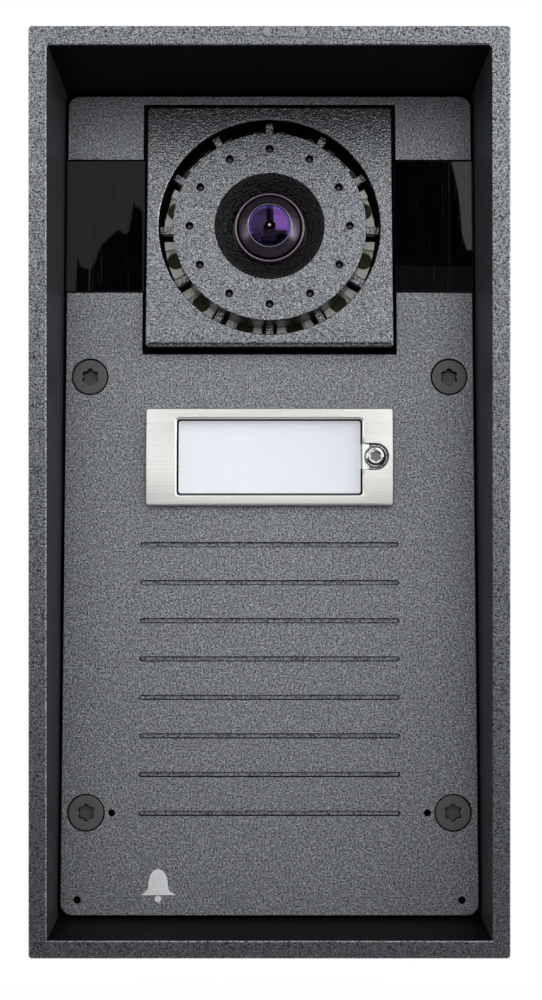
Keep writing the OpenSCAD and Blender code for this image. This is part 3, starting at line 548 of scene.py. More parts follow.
@dataclass(frozen=True)
class CoatedGlass(Finish):
    """A coated front element: violet, blue at its rim, dark at the pupil.

    Its patches are painted reflections (a bright sheen on the right, a dark wedge below, a bright patch low
    on the left) and its spark is a painted glint that glows, each between two places across or up.
    """

    centre: Colour = (0.0, 0.0, 0.0)
    painted_sheen: Colour = (0.09, 0.038, 0.165)
    rim: Colour = (0.045, 0.042, 0.19)
    hoop: Colour = (0.3, 0.28, 0.36)
    pupil_colour: Colour = (0.008, 0.002, 0.002)
    glint_warm: Colour = (0.95, 0.55, 0.4)
    glint_cool: Colour = (0.55, 0.65, 1.0)
    pupil: float = 1.4 * MM
    reach: float = 5.2 * MM
    hoop_pitch: float = 0.55 * MM
    hoop_width: float = 0.09 * MM
    painted_sheen_edge: Place = (0.1 * MM, 0.5 * MM)
    beside_edge: Place = (-1.85 * MM, -1.5 * MM)
    dark_reflection_edge: Place = (-1.4 * MM, -1.15 * MM)
    bright_reflection_side: Place = (-2.2 * MM, -1.95 * MM)
    bright_reflection_top: Place = (-2.5 * MM, -2.25 * MM)
    painted_glint_edge: Place = (0.12 * MM, 0.42 * MM)
    painted_glint_split: Place = (-0.25 * MM, 0.25 * MM)

    def shade(self, g: Graph) -> dict:
        """Rings of coating colour round a dark pupil, with painted reflections and a glowing painted glint.

        Args:
            g: the material's graph.

        Returns:
            The shader's inputs by name.
        """
        x, _, z = g.add("ShaderNodeSeparateXYZ", {0: g.mapped(offset=tuple(-c for c in self.centre))}).outputs
        across = g.distance(x, z)
        # painted reflection: a brighter sheen over the right side
        coat = g.blend(g.spread(x, *self.painted_sheen_edge), self.colour, self.painted_sheen)
        # painted reflection: a dark wedge below the pupil
        under = g.math("MULTIPLY", g.spread(x, *self.beside_edge), g.spread(z, *self.dark_reflection_edge, 1.0, 0.0))
        coat = g.blend(under, coat, self.scaled(0.3))
        # painted reflection: a bright patch low on the left
        aside = g.spread(x, *self.bright_reflection_side, 1.0, 0.0)
        low = g.math("MULTIPLY", aside, g.spread(z, *self.bright_reflection_top, 1.0, 0.0))
        coat = g.blend(low, coat, self.scaled(9.0))
        coat = g.blend(g.spread(across, self.reach * 0.86, self.reach * 0.96), coat, self.rim)
        ripple = g.math("PINGPONG", g.math("SUBTRACT", across, self.pupil), self.hoop_pitch)
        inner = g.spread(across, 0.4 * self.reach, 0.5 * self.reach, 1.0, 0.0)
        hoops = g.math("MULTIPLY", g.spread(ripple, 0.0, self.hoop_width, 0.3, 0.0), inner)
        coat = g.blend(hoops, coat, self.hoop)
        hole = g.spread(across, self.pupil * 0.85, self.pupil, 1.0, 0.0)
        # painted glint: a warm-to-cool spot at the centre that glows by emission
        light = g.blend(g.spread(x, *self.painted_glint_split), self.glint_warm, self.glint_cool)
        painted_glint = g.spread(across, *self.painted_glint_edge, 1.0, 0.0)
        return {"Base Color": g.blend(hole, coat, self.pupil_colour), "Metallic": 0.95,
                "Emission Color": g.blend(painted_glint, (0.0, 0.0, 0.0), light), "Emission Strength": 1.0,
                "Roughness": g.level(g.drift(1.5 * MM), self.rough, self.rough + 0.04)}


@dataclass(frozen=True)
class ClearSheet(Finish):
    """Clear acrylic or optical glass that lets light through to what lies behind."""

    ior: float = 1.49

    def shade(self, g: Graph) -> dict:
        """A clear body with a little haze."""
        haze = g.drift(0.006)
        return {"Base Color": self.tinted(g, haze, 0.985, 1.0), "IOR": self.ior, "Transmission Weight": 1.0,
                "Roughness": g.level(haze, self.rough, self.rough + 0.03)}

    def surface(self, g: Graph, shader: Node) -> Socket:
        """Lets the lamps' light pass straight through.

        Args:
            g: the material's graph.
            shader: the material's shader node.

        Returns:
            The shader, clear to shadow rays.
        """
        shadow = g.add("ShaderNodeLightPath").outputs["Is Shadow Ray"]
        clear = g.add("ShaderNodeBsdfTransparent", {"Color": self.colour}).outputs[0]
        return g.add("ShaderNodeMixShader", {0: shadow, 1: shader.outputs[0], 2: clear}).outputs[0]


@dataclass(frozen=True)
class Cloth(Finish):
    """Woven cloth."""

    thread: float = 0.35 * MM

    def shade(self, g: Graph) -> dict:
        """A plain weave in colour and height.

        Args:
            g: the material's graph.

        Returns:
            The shader's inputs by name.
        """
        weave = g.effect("weave", Point=g.place(), Size=self.thread).outputs["Tone"]
        tone = g.mixed(weave, 0.6, g.drift(0.006))
        return {"Base Color": self.tinted(g, tone, 0.6, 1.35), "Sheen Weight": 0.15,
                "Normal": g.bump(weave, 0.6, 0.05 * MM)}


@dataclass(frozen=True)
class Laminate(Finish):
    """Solder-masked circuit board with tracks under the mask."""

    def shade(self, g: Graph) -> dict:
        """Lighter tracks on a grid under a glossy mask.

        Args:
            g: the material's graph.

        Returns:
            The shader's inputs by name.
        """
        feeds = {"Vector": g.place(), "Scale": 330.0}
        cells = g.add("ShaderNodeTexVoronoi", feeds, feature="F1", distance="CHEBYCHEV").outputs["Distance"]
        track = g.spread(g.math("PINGPONG", g.math("MULTIPLY", cells, 6.0), 0.5), 0.18, 0.3, 1.0, 0.0)
        mask = self.tinted(g, g.drift(0.01), 0.85, 1.15)
        light = tuple(min(1.0, c * 1.7 + 0.02) for c in self.colour)
        return {"Base Color": g.blend(g.math("MULTIPLY", track, 0.7), mask, light),
                "Roughness": g.level(track, self.rough, self.rough + 0.1),
                "Normal": g.bump(track, 0.4, 0.03 * MM)}


class Finishes:
    """Every finish of the station, by the thing that wears it."""

    lens_centre: ClassVar[Colour] = tuple((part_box("lens_lip_ring")[0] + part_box("lens_lip_ring")[1]) / 2)
    hood = PowderCoat("hood_coat", (0.215, 0.223, 0.24), 0.42, metallic=0.97)
    lining = Lacquer("hood_lining", (0.026, 0.0275, 0.0305), 0.36)
    # A darker copy of the lining, painted shade on the hood's ceiling and floor.
    shaded_lining = Lacquer("hood_ceiling_painted_shade", (0.004, 0.0043, 0.0047), 0.4)
    # Near-black paint that stands in for shade in recesses, gaps, slot walls and under heads: painted shade.
    shade = Lacquer("recess_shade", (0.002, 0.002, 0.002), 0.7)
    panel = PowderCoat("panel_coat", (0.184, 0.192, 0.209), 0.42, metallic=0.62)
    head = PowderCoat("head_coat", (0.19, 0.198, 0.212), 0.25, metallic=0.9, contrast=0.75, relief=1.1,
                      relief_size=0.5 * MM, depth=0.07 * MM)
    funnel = PowderCoat("funnel_coat", (0.004, 0.0042, 0.0045), 0.3, metallic=0.0, contrast=0.3,
                        fleck=(0.015, 0.015, 0.015), relief=2.6, depth=0.14 * MM, specular=0.18)
    window = Polished("infrared_window", (0.0012, 0.001, 0.0016), 0.015, tint=(0.95, 0.9, 0.92), bend=0.0682)
    rubber = Moulding("black_rubber", (0.022, 0.022, 0.022), 0.7)
    # Dark foam made near-black so the gaps round the panel and head and the microphone holes read as shade:
    # partly painted shade.
    gasket = Moulding("dark_foam_and_shade", (0.004, 0.004, 0.004), 0.85, specular=0.1)
    plastic = Moulding("black_plastic", (0.03, 0.03, 0.032), 0.45)
    black_screw = Moulding("blackened_steel", (0.055, 0.055, 0.055), 0.42, grain=0.18 * MM)
    zinc = Metal("zinc_plate", (0.62, 0.62, 0.63), 0.3)
    steel = Metal("steel_sheet", (0.56, 0.565, 0.57), 0.36)
    nickel = Metal("brushed_nickel", (0.92, 0.91, 0.885), 0.3, marks=Marks.ALONG_X, depth=0.0008 * MM,
                   spread=0.02)
    # A darker copy of the bright chrome, painted shade on the floor of the window screw's recess.
    recess = Metal("recess_metal_painted_shade", (0.2, 0.2, 0.2), 0.3)
    chrome = Metal("bright_chrome", (0.6, 0.595, 0.59), 0.12, depth=0.001 * MM, spread=0.03)
    basket = Moulding("basket_paint", (0.03, 0.03, 0.032), 0.4)
    # The ring's glow is painted light: it brightens the ring deep in the slot, where no lamp shines.
    ring = BacklitCard("pale_ring_painted_glow", (0.68, 0.7, 0.65), 0.55, glow=(0.03, 0.031, 0.027))
    # A darker copy of the ring's colour, painted shade on the upper pads that the slot's depth shades.
    dim_ring = Moulding("shaded_ring", (0.04, 0.042, 0.026), 0.6)
    cloth = Cloth("olive_cloth", (0.05, 0.05, 0.018), 0.8)
    spider = Cloth("amber_cloth", (0.45, 0.24, 0.07), 0.7)
    cone = Moulding("cone_paper", (0.025, 0.025, 0.027), 0.8, grain=0.6 * MM, depth=0.06 * MM)
    copper = Metal("enamelled_wire", (0.72, 0.36, 0.16), 0.28)
    lip_metal = TurnedMetal("anodised_lip", (0.2, 0.155, 0.2), 0.3, centre=lens_centre)
    cone_metal = TurnedMetal("anodised_cone", (0.15, 0.122, 0.152), 0.26, centre=lens_centre)
    trim = TurnedMetal("polished_trim", (0.27, 0.235, 0.27), 0.22, centre=lens_centre)
    # the glass carries painted reflections and a glowing painted glint
    glass = CoatedGlass("coated_glass", (0.0225, 0.0125, 0.04), 0.02, centre=lens_centre)
    pipe = Moulding("smoked_pipe", (0.05, 0.05, 0.055), 0.25, grain=0.5 * MM)
    sensor = Polished("sensor_lid", (0.02, 0.02, 0.04), 0.05)
    pane = ClearSheet("clear_pane", (0.99, 0.99, 0.995), 0.01)
    clear = ClearSheet("clear_moulding", (0.9, 0.92, 0.95), 0.08)
    # The card's glow is its backlight and also stands in for lamp light that does not reach it through the
    # pane: partly painted light.
    card = BacklitCard("name_card_paper", (0.84, 0.86, 0.9), 0.85, glow=(0.145, 0.147, 0.144))
    # the opal also stands as painted light on the lit end of the plate's tab floor
    opal = Moulding("opal_diffuser", (0.85, 0.86, 0.87), 0.5, spread=0.02)
    cap = Moulding("switch_cap", (0.5, 0.47, 0.38), 0.5)
    board = Laminate("circuit_board", (0.012, 0.09, 0.03), 0.28)
    sleeve = Moulding("capacitor_sleeve", (0.02, 0.03, 0.07), 0.25)
    terminal = Moulding("terminal_plastic", (0.02, 0.13, 0.035), 0.45)
    film = Moulding("flexible_circuit", (0.5, 0.26, 0.05), 0.3)
    ink = Moulding("print_ink", (0.5, 0.51, 0.52), 0.6)


# ------------------------------------------------------------------------ mesh making


class Edges(Enum):
    """Which edges of a solid are rounded."""

    OUTER = 1
    INNER = -1


@cache
def span(node: str) -> tuple[Vector, Vector]:
    """The lowest and highest corner of a frame node."""
    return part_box(node)


def centre_of(node: str) -> Vector:
    """The centre of a frame node's box."""
    return sum(span(node), Vector()) / 2


def middle(edge: BMEdge) -> Vector:
    """The middle of an edge."""
    return (edge.verts[0].co + edge.verts[1].co) / 2


def merged(node: str) -> BMesh:
    """A closed copy of a frame node with flat faces made whole.

    Args:
        node: the node's name.

    Returns:
        The copy, ready to be shaped.
    """
    bm = bmesh.new()
    bm.from_mesh(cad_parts[node].data)
    bmesh.ops.remove_doubles(bm, verts=bm.verts[:], dist=0.002 * MM)
    bmesh.ops.dissolve_limit(bm, angle_limit=math.radians(0.15), verts=bm.verts[:], edges=bm.edges[:])
    return bm


def rounded(bm: BMesh, width: float, choose: EdgeTest, steps: int = 2, side: Edges = Edges.OUTER,
            sharp: float = 35.0) -> None:
    """Rounds the sharp edges of a solid that a test picks.

    Args:
        bm: the solid.
        width: the width of the rounding, in metres.
        choose: the test of an edge.
        steps: segments of the rounding.
        side: outer or inner corners.
        sharp: the least angle that counts as sharp, in degrees.
    """
    bm.normal_update()
    least = math.radians(sharp)
    solid = (e for e in bm.edges if e.is_manifold and e.calc_face_angle_signed(0.0) * side.value > least)
    picked = [e for e in solid if choose(e)]
    if picked:
        bmesh.ops.bevel(bm, geom=picked, offset=width, offset_type="OFFSET", segments=steps, profile=0.5,
                        affect="EDGES", clamp_overlap=False, material=-1)


def numbered(bm: BMesh, choose: Callable[[BMFace, Vector], int]) -> None:
    """Gives every face of a mesh its material number.

    Args:
        bm: the mesh.
        choose: tells the number from a face and its middle.
    """
    bm.normal_update()
    for face in bm.faces:
        face.material_index = int(choose(face, face.calc_center_median()))


def extrude_outline(bm: BMesh, loops: list[list[Place]], back: float, front: float, number: int = 0) -> None:
    """Adds a flat plate with holes, parallel to the wall.

    Args:
        bm: the mesh that it goes into.
        loops: the outline and its holes, as places across and up.
        back: the distance of its back from the wall.
        front: the distance of its front from the wall.
        number: the material number of its faces.
    """
    before, edges = set(bm.faces), []
    for loop in loops:
        points = [bm.verts.new((x, -back, z)) for x, z in loop]
        edges += [bm.edges.new(pair) for pair in zip(points, points[1:] + points[:1])]
    filled = bmesh.ops.triangle_fill(bm, use_beauty=True, use_dissolve=False, edges=edges, normal=(0, 1, 0))
    faces = [g for g in filled["geom"] if isinstance(g, BMFace)]
    grown = bmesh.ops.extrude_face_region(bm, geom=faces, use_keep_orig=True)["geom"]
    ends = [g for g in grown if isinstance(g, BMVert)]
    bmesh.ops.translate(bm, verts=ends, vec=(0, back - front, 0))
    shell = {f for v in ends for f in v.link_faces} | set(faces)
    bmesh.ops.recalc_face_normals(bm, faces=list(shell))
    for face in set(bm.faces) - before:
        face.material_index = number


def arc_points(centre: Vector, radius: float, start: float, end: float, steps: int) -> list[Place]:
    """Points on an arc in the plane of the wall, from one angle to another."""
    angles = (start + (end - start) * step / steps for step in range(steps + 1))
    return [(centre.x + radius * math.cos(a), centre.z + radius * math.sin(a)) for a in angles]


def in_front(depth: float) -> EdgeTest:
    """A test for edges that lie wholly in front of a distance from the wall."""
    return lambda e: all(v.co.y < -depth for v in e.verts)


def linked(name: str, data: bpy.types.ID) -> Thing:
    """Makes an object of its data and puts it into the scene.

    Args:
        name: the object's name.
        data: its mesh, lamp or camera.

    Returns:
        The new object.
    """
    made = bpy.data.objects.new(name, data)
    bpy.context.scene.collection.objects.link(made)
    return made


def mesh_of(name: str, bm: BMesh) -> bpy.types.Mesh:
    """Turns a shaped mesh into mesh data.

    Args:
        name: the data's name.
        bm: the shaped mesh, which is used up.

    Returns:
        The data.
    """
    mesh = bpy.data.meshes.new(name)
    bm.to_mesh(mesh)
    bm.free()
    return mesh


def piece(name: str, bm: BMesh, finishes: list[Finish], sharp: float = 32.0) -> Thing:
    """Makes an object of a shaped mesh, shaded smooth but for its sharp edges.

    Args:
        name: the piece's name.
        bm: its mesh, which is used up.
        finishes: the finishes that its faces' material numbers name.
        sharp: the least angle that stays an edge, in degrees.

    Returns:
        The new object.
    """
    mesh = mesh_of(name, bm)
    mesh.shade_smooth()
    mesh.set_sharp_from_angle(angle=math.radians(sharp))
    for finish in finishes:
        mesh.materials.append(finish.material())
    made = linked(name, mesh)
    even = made.modifiers.new("even_light", "WEIGHTED_NORMAL")
    even.keep_sharp = True
    return made


class SubAssembly:
    """A group of pieces that belong together."""

    body: ClassVar[str] = "station"
    outfit: ClassVar[Outfit] = ()

    def settle(self, made: Thing, slot: str, *nodes: str) -> None:
        """Lets a piece ride on its body in place of frame nodes.

        Args:
            made: the new piece.
            slot: a material slot's name, not used.
            nodes: the frame nodes that it stands for.
        """
        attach(made, self.body)
        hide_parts(*nodes)
        LOG.info("built %s in place of %s", made.name, ", ".join(nodes))

    def wear(self, finish: Finish, *nodes: str) -> None:
        """Gives frame nodes a finish.

        Args:
            finish: the finish.
            nodes: the frame nodes that wear it.
        """
        for node in nodes:
            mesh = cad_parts[node].data
            mesh.materials.clear()
            mesh.materials.append(finish.material())
            LOG.info("dressed %s in %s", node, finish.name)

    def turned(self, name: str, node: str, profile: list[Place], finish: Finish,
               sharp: float = 40.0) -> Thing:
        """Turns a profile round the axis of a frame node.

        Args:
            name: the piece's name.
            node: the frame node whose axis it shares.
            profile: radius and distance from the wall of each point, in metres.
            finish: the piece's finish.
            sharp: the least angle that stays an edge, in degrees.

        Returns:
            The turned piece.
        """
        centre = centre_of(node)
        bm = bmesh.new()
        points = [bm.verts.new((radius, -depth, 0.0)) for radius, depth in profile]
        lines = [bm.edges.new(pair) for pair in zip(points, points[1:])]
        bmesh.ops.spin(bm, geom=points + lines, cent=(0, 0, 0), axis=(0, 1, 0), angle=FULL_TURN, steps=96,
                       use_merge=True)
        bmesh.ops.remove_doubles(bm, verts=bm.verts[:], dist=0.001 * MM)
        bmesh.ops.recalc_face_normals(bm, faces=bm.faces[:])
        bmesh.ops.translate(bm, verts=bm.verts[:], vec=(centre.x, 0, centre.z))
        return piece(name, bm, [finish], sharp)

    def build(self) -> None:
        """Makes the new pieces."""

    def dress(self) -> None:
        """Gives the frame nodes that stay their finishes."""
        for finish, nodes in self.outfit:
            self.wear(finish, *nodes.split())


@dataclass
class RainHood(SubAssembly):
    """The housing with its deep rain hood."""

    rim_round: float = 0.32 * MM
    corner_round: float = 0.8 * MM
    back_round: float = 0.5 * MM
    lining_start: float = 1 * MM
    rim_depth: float = 4 * MM

    def build(self) -> None:
        """Rounds the rim and lines the hood."""
        bm = merged("housing")
        rounded(bm, self.corner_round, self.is_long_corner, 4, Edges.INNER)
        rounded(bm, self.rim_round, in_front(-span("front_panel")[0].y + self.rim_depth), 3)
        rounded(bm, self.back_round, lambda e: all(v.co.y > -0.01 * MM for v in e.verts), 2)
        numbered(bm, self.number)
        finishes = [Finishes.hood, Finishes.lining, Finishes.shaded_lining, Finishes.shade]
        self.settle(piece("rain_hood", bm, finishes), "housing_paint", "housing")

    def number(self, face: BMFace, mid: Vector) -> int:
        """Tells the finish of a face: 1 for the lining of the side walls, 2 for its darker copy on the
        ceiling and floor as painted shade, 3 for the ledge behind the panel in painted shade.

        Args:
            face: the face.
            mid: its middle.

        Returns:
            The number of its finish.
        """
        low, high = span("front_panel")
        reach = (span("housing")[1].x + high.x) / 2
        within = abs(mid.x) < reach and low.z - 2 * MM < mid.z < high.z + 2 * MM
        inside = within and mid.y < -self.lining_start
        # painted shade: the ceiling and floor take the darker lining, the ledge the recess shade
        if inside and abs(face.normal.y) < 0.25:
            return 1 if abs(face.normal.x) > 0.7 else 2
        return 3 if inside and face.normal.y < -0.9 and mid.y > low.y else 0

    def is_long_corner(self, edge: BMEdge) -> bool:
        """Tells whether an edge is a long inner corner of the hood, from front to back."""
        a, b = (v.co for v in edge.verts)
        low, high = span("front_panel")
        return abs(a.y - b.y) > 10 * MM and min(a.y, b.y) < low.y - 10 * MM and abs(a.x) > high.x - 1 * MM

    def dress(self) -> None:
        """Dresses the grommet and the gaskets."""
        self.wear(Finishes.gasket, "panel_gasket", "bezel_gasket")
        bm = merged("cable_grommet")
        rounded(bm, 0.35 * MM, lambda e: e.calc_length() < 20 * MM, 3, sharp=50.0)
        self.settle(piece("cable_grommet_rubber", bm, [Finishes.rubber]), "black_rubber", "cable_grommet")


@dataclass
class FrontPanel(SubAssembly):
    """The front panel with its grooves, holes and screws."""

    edge_round: float = 0.22 * MM
    line_round: float = 0.06 * MM
    screw_round: float = 0.22 * MM
    screw_head: float = 4.3 * MM
    groove_depth: float = 0.5 * MM
    groove_line: float = 0.18 * MM
    bold_zone: float = 4 * MM
    hole_depth: float = 0.1 * MM
    recess_depth: float = 0.35 * MM
    mark_height: float = 7.2 * MM
    mark_place: Place = (-27.2 * MM, -94.0 * MM)
    bell_width: float = 0.66
    bell_growth: float = 0.24
    bell_drop: float = 0.72
    flare: float = 0.35
    flare_start: float = 0.55
    clapper: float = 0.22
    clapper_drop: float = 0.98
    ink_height: float = 0.012

    def build(self) -> None:
        """Rounds the panel's front edges and its screws, and prints the bell mark."""
        face = -span("front_panel")[0].y
        bm = merged("front_panel")
        self.sink_grooves(bm, face - self.groove_depth)
        ahead = in_front(face - 0.02 * MM)
        rounded(bm, self.edge_round, lambda e: ahead(e) and self.is_bold(e), 2)
        rounded(bm, self.line_round, lambda e: ahead(e) and not self.is_bold(e), 1)
        # painted shade: walls of holes, grooves and the outline behind the face wear the recess shade
        numbered(bm, lambda part, mid: -mid.y < face - self.hole_depth and abs(part.normal.y) < 0.9)
        self.settle(piece("panel_plate", bm, [Finishes.panel, Finishes.shade]), "panel_paint", "front_panel")
        bm = merged("panel_screws")
        self.turn_screws(bm)
        rounded(bm, self.screw_round, in_front(face - 0.2 * MM), 3)
        # painted shade: the walls of the screws' recesses wear the recess shade
        numbered(bm, lambda part, mid: -mid.y < face - self.recess_depth and abs(part.normal.y) < 0.7)
        finishes = [Finishes.black_screw, Finishes.shade]
        self.settle(piece("panel_screw_set", bm, finishes), "screw_dark", "panel_screws")
        self.print_mark(face)

    def sink_grooves(self, bm: BMesh, depth: float) -> None:
        """Sinks the floors of the shallow grooves.

        Args:
            bm: the panel's mesh.
            depth: the distance of their floors from the wall.
        """
        bm.normal_update()
        level = (f for f in bm.faces if f.normal.y < -0.99)
        floors = [f for f in level if abs(-f.calc_center_median().y - depth) < 0.05 * MM]
        feet = {v for f in floors for v in f.verts}
        bmesh.ops.inset_region(bm, faces=floors, thickness=self.groove_line, use_boundary=True,
                               use_even_offset=True)
        bmesh.ops.translate(bm, verts=list(feet), vec=(0, self.groove_depth, 0))

    def turn_screws(self, bm: BMesh) -> None:
        """Turns every screw until a lobe of its recess points up.

        Args:
            bm: the mesh of the four screws.
        """
        low, high = span("panel_screws")
        for x, z in itertools.product((low.x + self.screw_head, high.x - self.screw_head),
                                      (low.z + self.screw_head, high.z - self.screw_head)):
            mine = [v for v in bm.verts if math.hypot(v.co.x - x, v.co.z - z) < 2 * self.screw_head]
            bmesh.ops.rotate(bm, verts=mine, cent=(x, 0, z), matrix=Matrix.Rotation(LOBE_TURN, 3, "Y"))

    def is_bold(self, edge: BMEdge) -> bool:
        """Tells whether an edge belongs to the outline or the window gaps, not to a groove or a hole."""
        low, high = span("front_panel")
        mid, top = middle(edge), span("button_plate")[1].z
        aside = abs(mid.x) > high.x - self.bold_zone
        return aside or mid.z < low.z + self.bold_zone or mid.z > top + self.bold_zone

    def print_mark(self, face: float) -> None:
        """Prints a small bell on the panel.

        Args:
            face: the distance of the panel's face from the wall.
        """
        bm = bmesh.new()
        dome = bmesh.ops.create_circle(bm, cap_ends=True, segments=48, radius=1.0)["verts"]
        for vert in dome:
            if vert.co.y < 0:
                low = max(0.0, -vert.co.y - self.flare_start) / (1.0 - self.flare_start)
                wide = (self.bell_width + self.bell_growth * vert.co.y ** 2) * (1.0 + self.flare * low)
                vert.co.x = math.copysign(wide, vert.co.x) if abs(vert.co.x) > 0.02 else 0.0
                vert.co.y *= self.bell_drop
            else:
                vert.co.x *= self.bell_width
        clapper = bmesh.ops.create_circle(bm, cap_ends=True, segments=24, radius=self.clapper)["verts"]
        bmesh.ops.translate(bm, verts=clapper, vec=(0, -self.clapper_drop, 0))
        grown = bmesh.ops.extrude_face_region(bm, geom=bm.faces[:])["geom"]
        fronts = [g for g in grown if isinstance(g, BMVert)]
        bmesh.ops.translate(bm, verts=fronts, vec=(0, 0, self.ink_height))
        place = Matrix.Translation((self.mark_place[0], -face, self.mark_place[1]))
        upright_print = Matrix.Rotation(math.pi / 2, 4, "X") @ Matrix.Scale(self.mark_height / 2, 4)
        bmesh.ops.transform(bm, verts=bm.verts[:], matrix=place @ upright_print)
        bmesh.ops.recalc_face_normals(bm, faces=bm.faces[:])
        made = piece("bell_mark", bm, [Finishes.ink])
        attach(made, self.body)
        LOG.info("printed %s", made.name)


@dataclass
class InfraredWindows(SubAssembly):
    """The two dark windows and what shines behind them."""

    outfit: ClassVar[Outfit] = (
        (Finishes.board, "ir_led_boards"), (Finishes.clear, "ir_leds"),
        (Finishes.zinc, "ir_board_screws"),
    )
    edge_round: float = 0.12 * MM

    def build(self) -> None:
        """Rounds the windows' edges."""
        for side in ("left", "right"):
            bm = merged(f"ir_window_{side}")
            rounded(bm, self.edge_round, lambda e: True, 2)
            made = piece(f"dark_window_{side}", bm, [Finishes.window])
            self.settle(made, "dark_window", f"ir_window_{side}")


@dataclass
class CameraHead(SubAssembly):
    """The square head with its sound slot and lamp holes."""

    outfit: ClassVar[Outfit] = (
        (Finishes.pipe, "light_pipes"), (Finishes.board, "lamp_board"),
        (Finishes.cloth, "acoustic_membrane"), (Finishes.zinc, "bezel_screws"),
    )
    slot_round: float = 0.5 * MM
    outline_round: float = 0.3 * MM
    hole_round: float = 0.14 * MM
    foot_round: float = 1.4 * MM
    spokes: int = 12
    spoke_width: float = 1.96 * MM
    spoke_gap: float = 2.97 * MM
    slot_width: float = 3.4 * MM
    foot_width: float = 3.9 * MM
    pad_height: float = 1.7 * MM
    pad_inner: float = 24.35 * MM
    pad_outer: float = 27.0 * MM
    pad_angles: Place = (3.8, 8.8)
    shaded_rise: float = 0.5
    side_growth: float = 0.45 * MM
    corner: float = 0.85 * MM
    ring_cover: float = 1.2 * MM
    face_reach: float = 4.6 * MM
    funnel_reach: float = 14.4 * MM
    slot_zone: float = 0.4 * MM
    foot_zone: float = 4 * MM
    rim_zone: float = 2 * MM
    hole_zone: float = 1 * MM
    step_round: float = 0.15 * MM
    step_zone: float = 5 * MM
    step_depth: float = 45 * MM

    def build(self) -> None:
        """Rounds the head's face and separates the dark funnel."""
        low, high = span("sound_ring")
        slot = (high.x - low.x) / 2 - self.ring_cover
        centre = centre_of("sound_ring")
        bm = merged("camera_bezel")
        self.widen(bm)
        self.soften(bm, centre, slot)
        numbered(bm, lambda part, mid: self.number(part, mid - centre, slot))
        self.add_flanks(bm, centre, -low.y, slot)
        finishes = [Finishes.head, Finishes.funnel, Finishes.shade]
        self.settle(piece("head_bezel", bm, finishes), "head_paint", "camera_bezel")
        bm = merged("sound_ring")
        self.add_pads(bm, centre, -low.y)
        # the ring's finish glows as painted light
        made = piece("sound_ring_plate", bm, [Finishes.ring, Finishes.dim_ring])
        self.settle(made, "pale_plastic", "sound_ring")

    def widen(self, bm: BMesh) -> None:
        """Moves the flanks of the head outwards.

        Args:
            bm: the head's mesh.
        """
        face = -span("camera_bezel")[0].y - self.face_reach
        half = max(v.co.x for v in bm.verts if v.co.y < -face)
        for vert in bm.verts:
            if half - self.corner < abs(vert.co.x) < half + 0.01 * MM:
                vert.co.x += math.copysign(self.side_growth, vert.co.x)

    def soften(self, bm: BMesh, centre: Vector, slot: float) -> None:
        """Rounds the edges of the slot, the foot, the outline, the holes and the inner steps.

        Args:
            bm: the head's mesh.
            centre: the centre of the slot.
            slot: the slot's outer radius.
        """
        low = span("camera_bezel")[0]
        ahead, foot = in_front(-low.y - self.face_reach), low.z + self.foot_zone
        outline = slot + self.rim_zone

        def radius(edge: BMEdge) -> float:
            """How far the middle of an edge lies from the slot's axis."""
            mid = middle(edge) - centre
            return math.hypot(mid.x, mid.z)

        def is_inner(edge: BMEdge) -> bool:
            """Tells whether an edge lies behind the face, round the slot."""
            deep = not ahead(edge) and edge.verts[0].co.y < -self.step_depth
            return deep and radius(edge) > slot - self.step_zone

        rounded(bm, self.slot_round, lambda e: ahead(e) and abs(radius(e) - slot) < self.slot_zone, 3)
        rounded(bm, self.foot_round, lambda e: ahead(e) and all(v.co.z < foot for v in e.verts), 6)
        rounded(bm, self.outline_round, lambda e: ahead(e) and radius(e) > outline, 3, sharp=60.0)
        rounded(bm, self.hole_round, lambda e: ahead(e) and radius(e) < slot - self.hole_zone, 2)
        rounded(bm, self.step_round, is_inner, 1)

    def number(self, face: BMFace, away: Vector, slot: float) -> int:
        """Tells the finish of a face: 1 for the funnel, 2 for what lies in the shade.

        Args:
            face: the face.
            away: its middle, seen from the centre of the slot.
            slot: the slot's outer radius.

        Returns:
            The number of its finish.
        """
        out = math.hypot(away.x, away.z)
        if out < self.funnel_reach and abs(face.normal.y) < 0.93:
            return 1
        beside = abs(out - slot) < 0.5 * MM or out > slot + self.rim_zone
        return 2 if beside and abs(face.normal.y) < 0.3 else 0

    def add_flanks(self, bm: BMesh, centre: Vector, back: float, slot: float) -> None:
        """Adds a dark web behind each spoke and a dark collar at the slot's outer edge, as painted shade in
        the slot.

        Args:
            bm: the head's mesh.
            centre: the centre of the slot.
            back: the distance from the wall of the ring behind the slot.
            slot: the slot's outer radius.
        """
        for width, depth in ((self.spoke_width, self.spoke_gap), (self.foot_width, self.pad_height)):
            middle = Vector((slot - self.slot_width / 2, -back - depth / 2 - 0.01 * MM, 0.0))
            for step in range(self.spokes):
                made = bmesh.ops.create_cube(bm, size=1.0)["verts"]
                turn = Matrix.Rotation(FULL_TURN * step / self.spokes, 4, "Y")
                place = Matrix.Translation((centre.x, 0, centre.z)) @ turn @ Matrix.Translation(middle)
                size = Matrix.Diagonal((self.slot_width + 0.1 * MM, depth, width, 1.0))
                bmesh.ops.transform(bm, verts=made, matrix=place @ size)
                # painted shade: the webs and the collar wear the recess shade
                for face in {f for v in made for f in v.link_faces}:
                    face.material_index = 2
        radii = (slot - 0.01 * MM, self.pad_outer)
        loops = [arc_points(centre, radius, 0.0, FULL_TURN, 96)[:-1] for radius in radii]
        extrude_outline(bm, loops, back + 0.02 * MM, back + self.pad_height, 2)

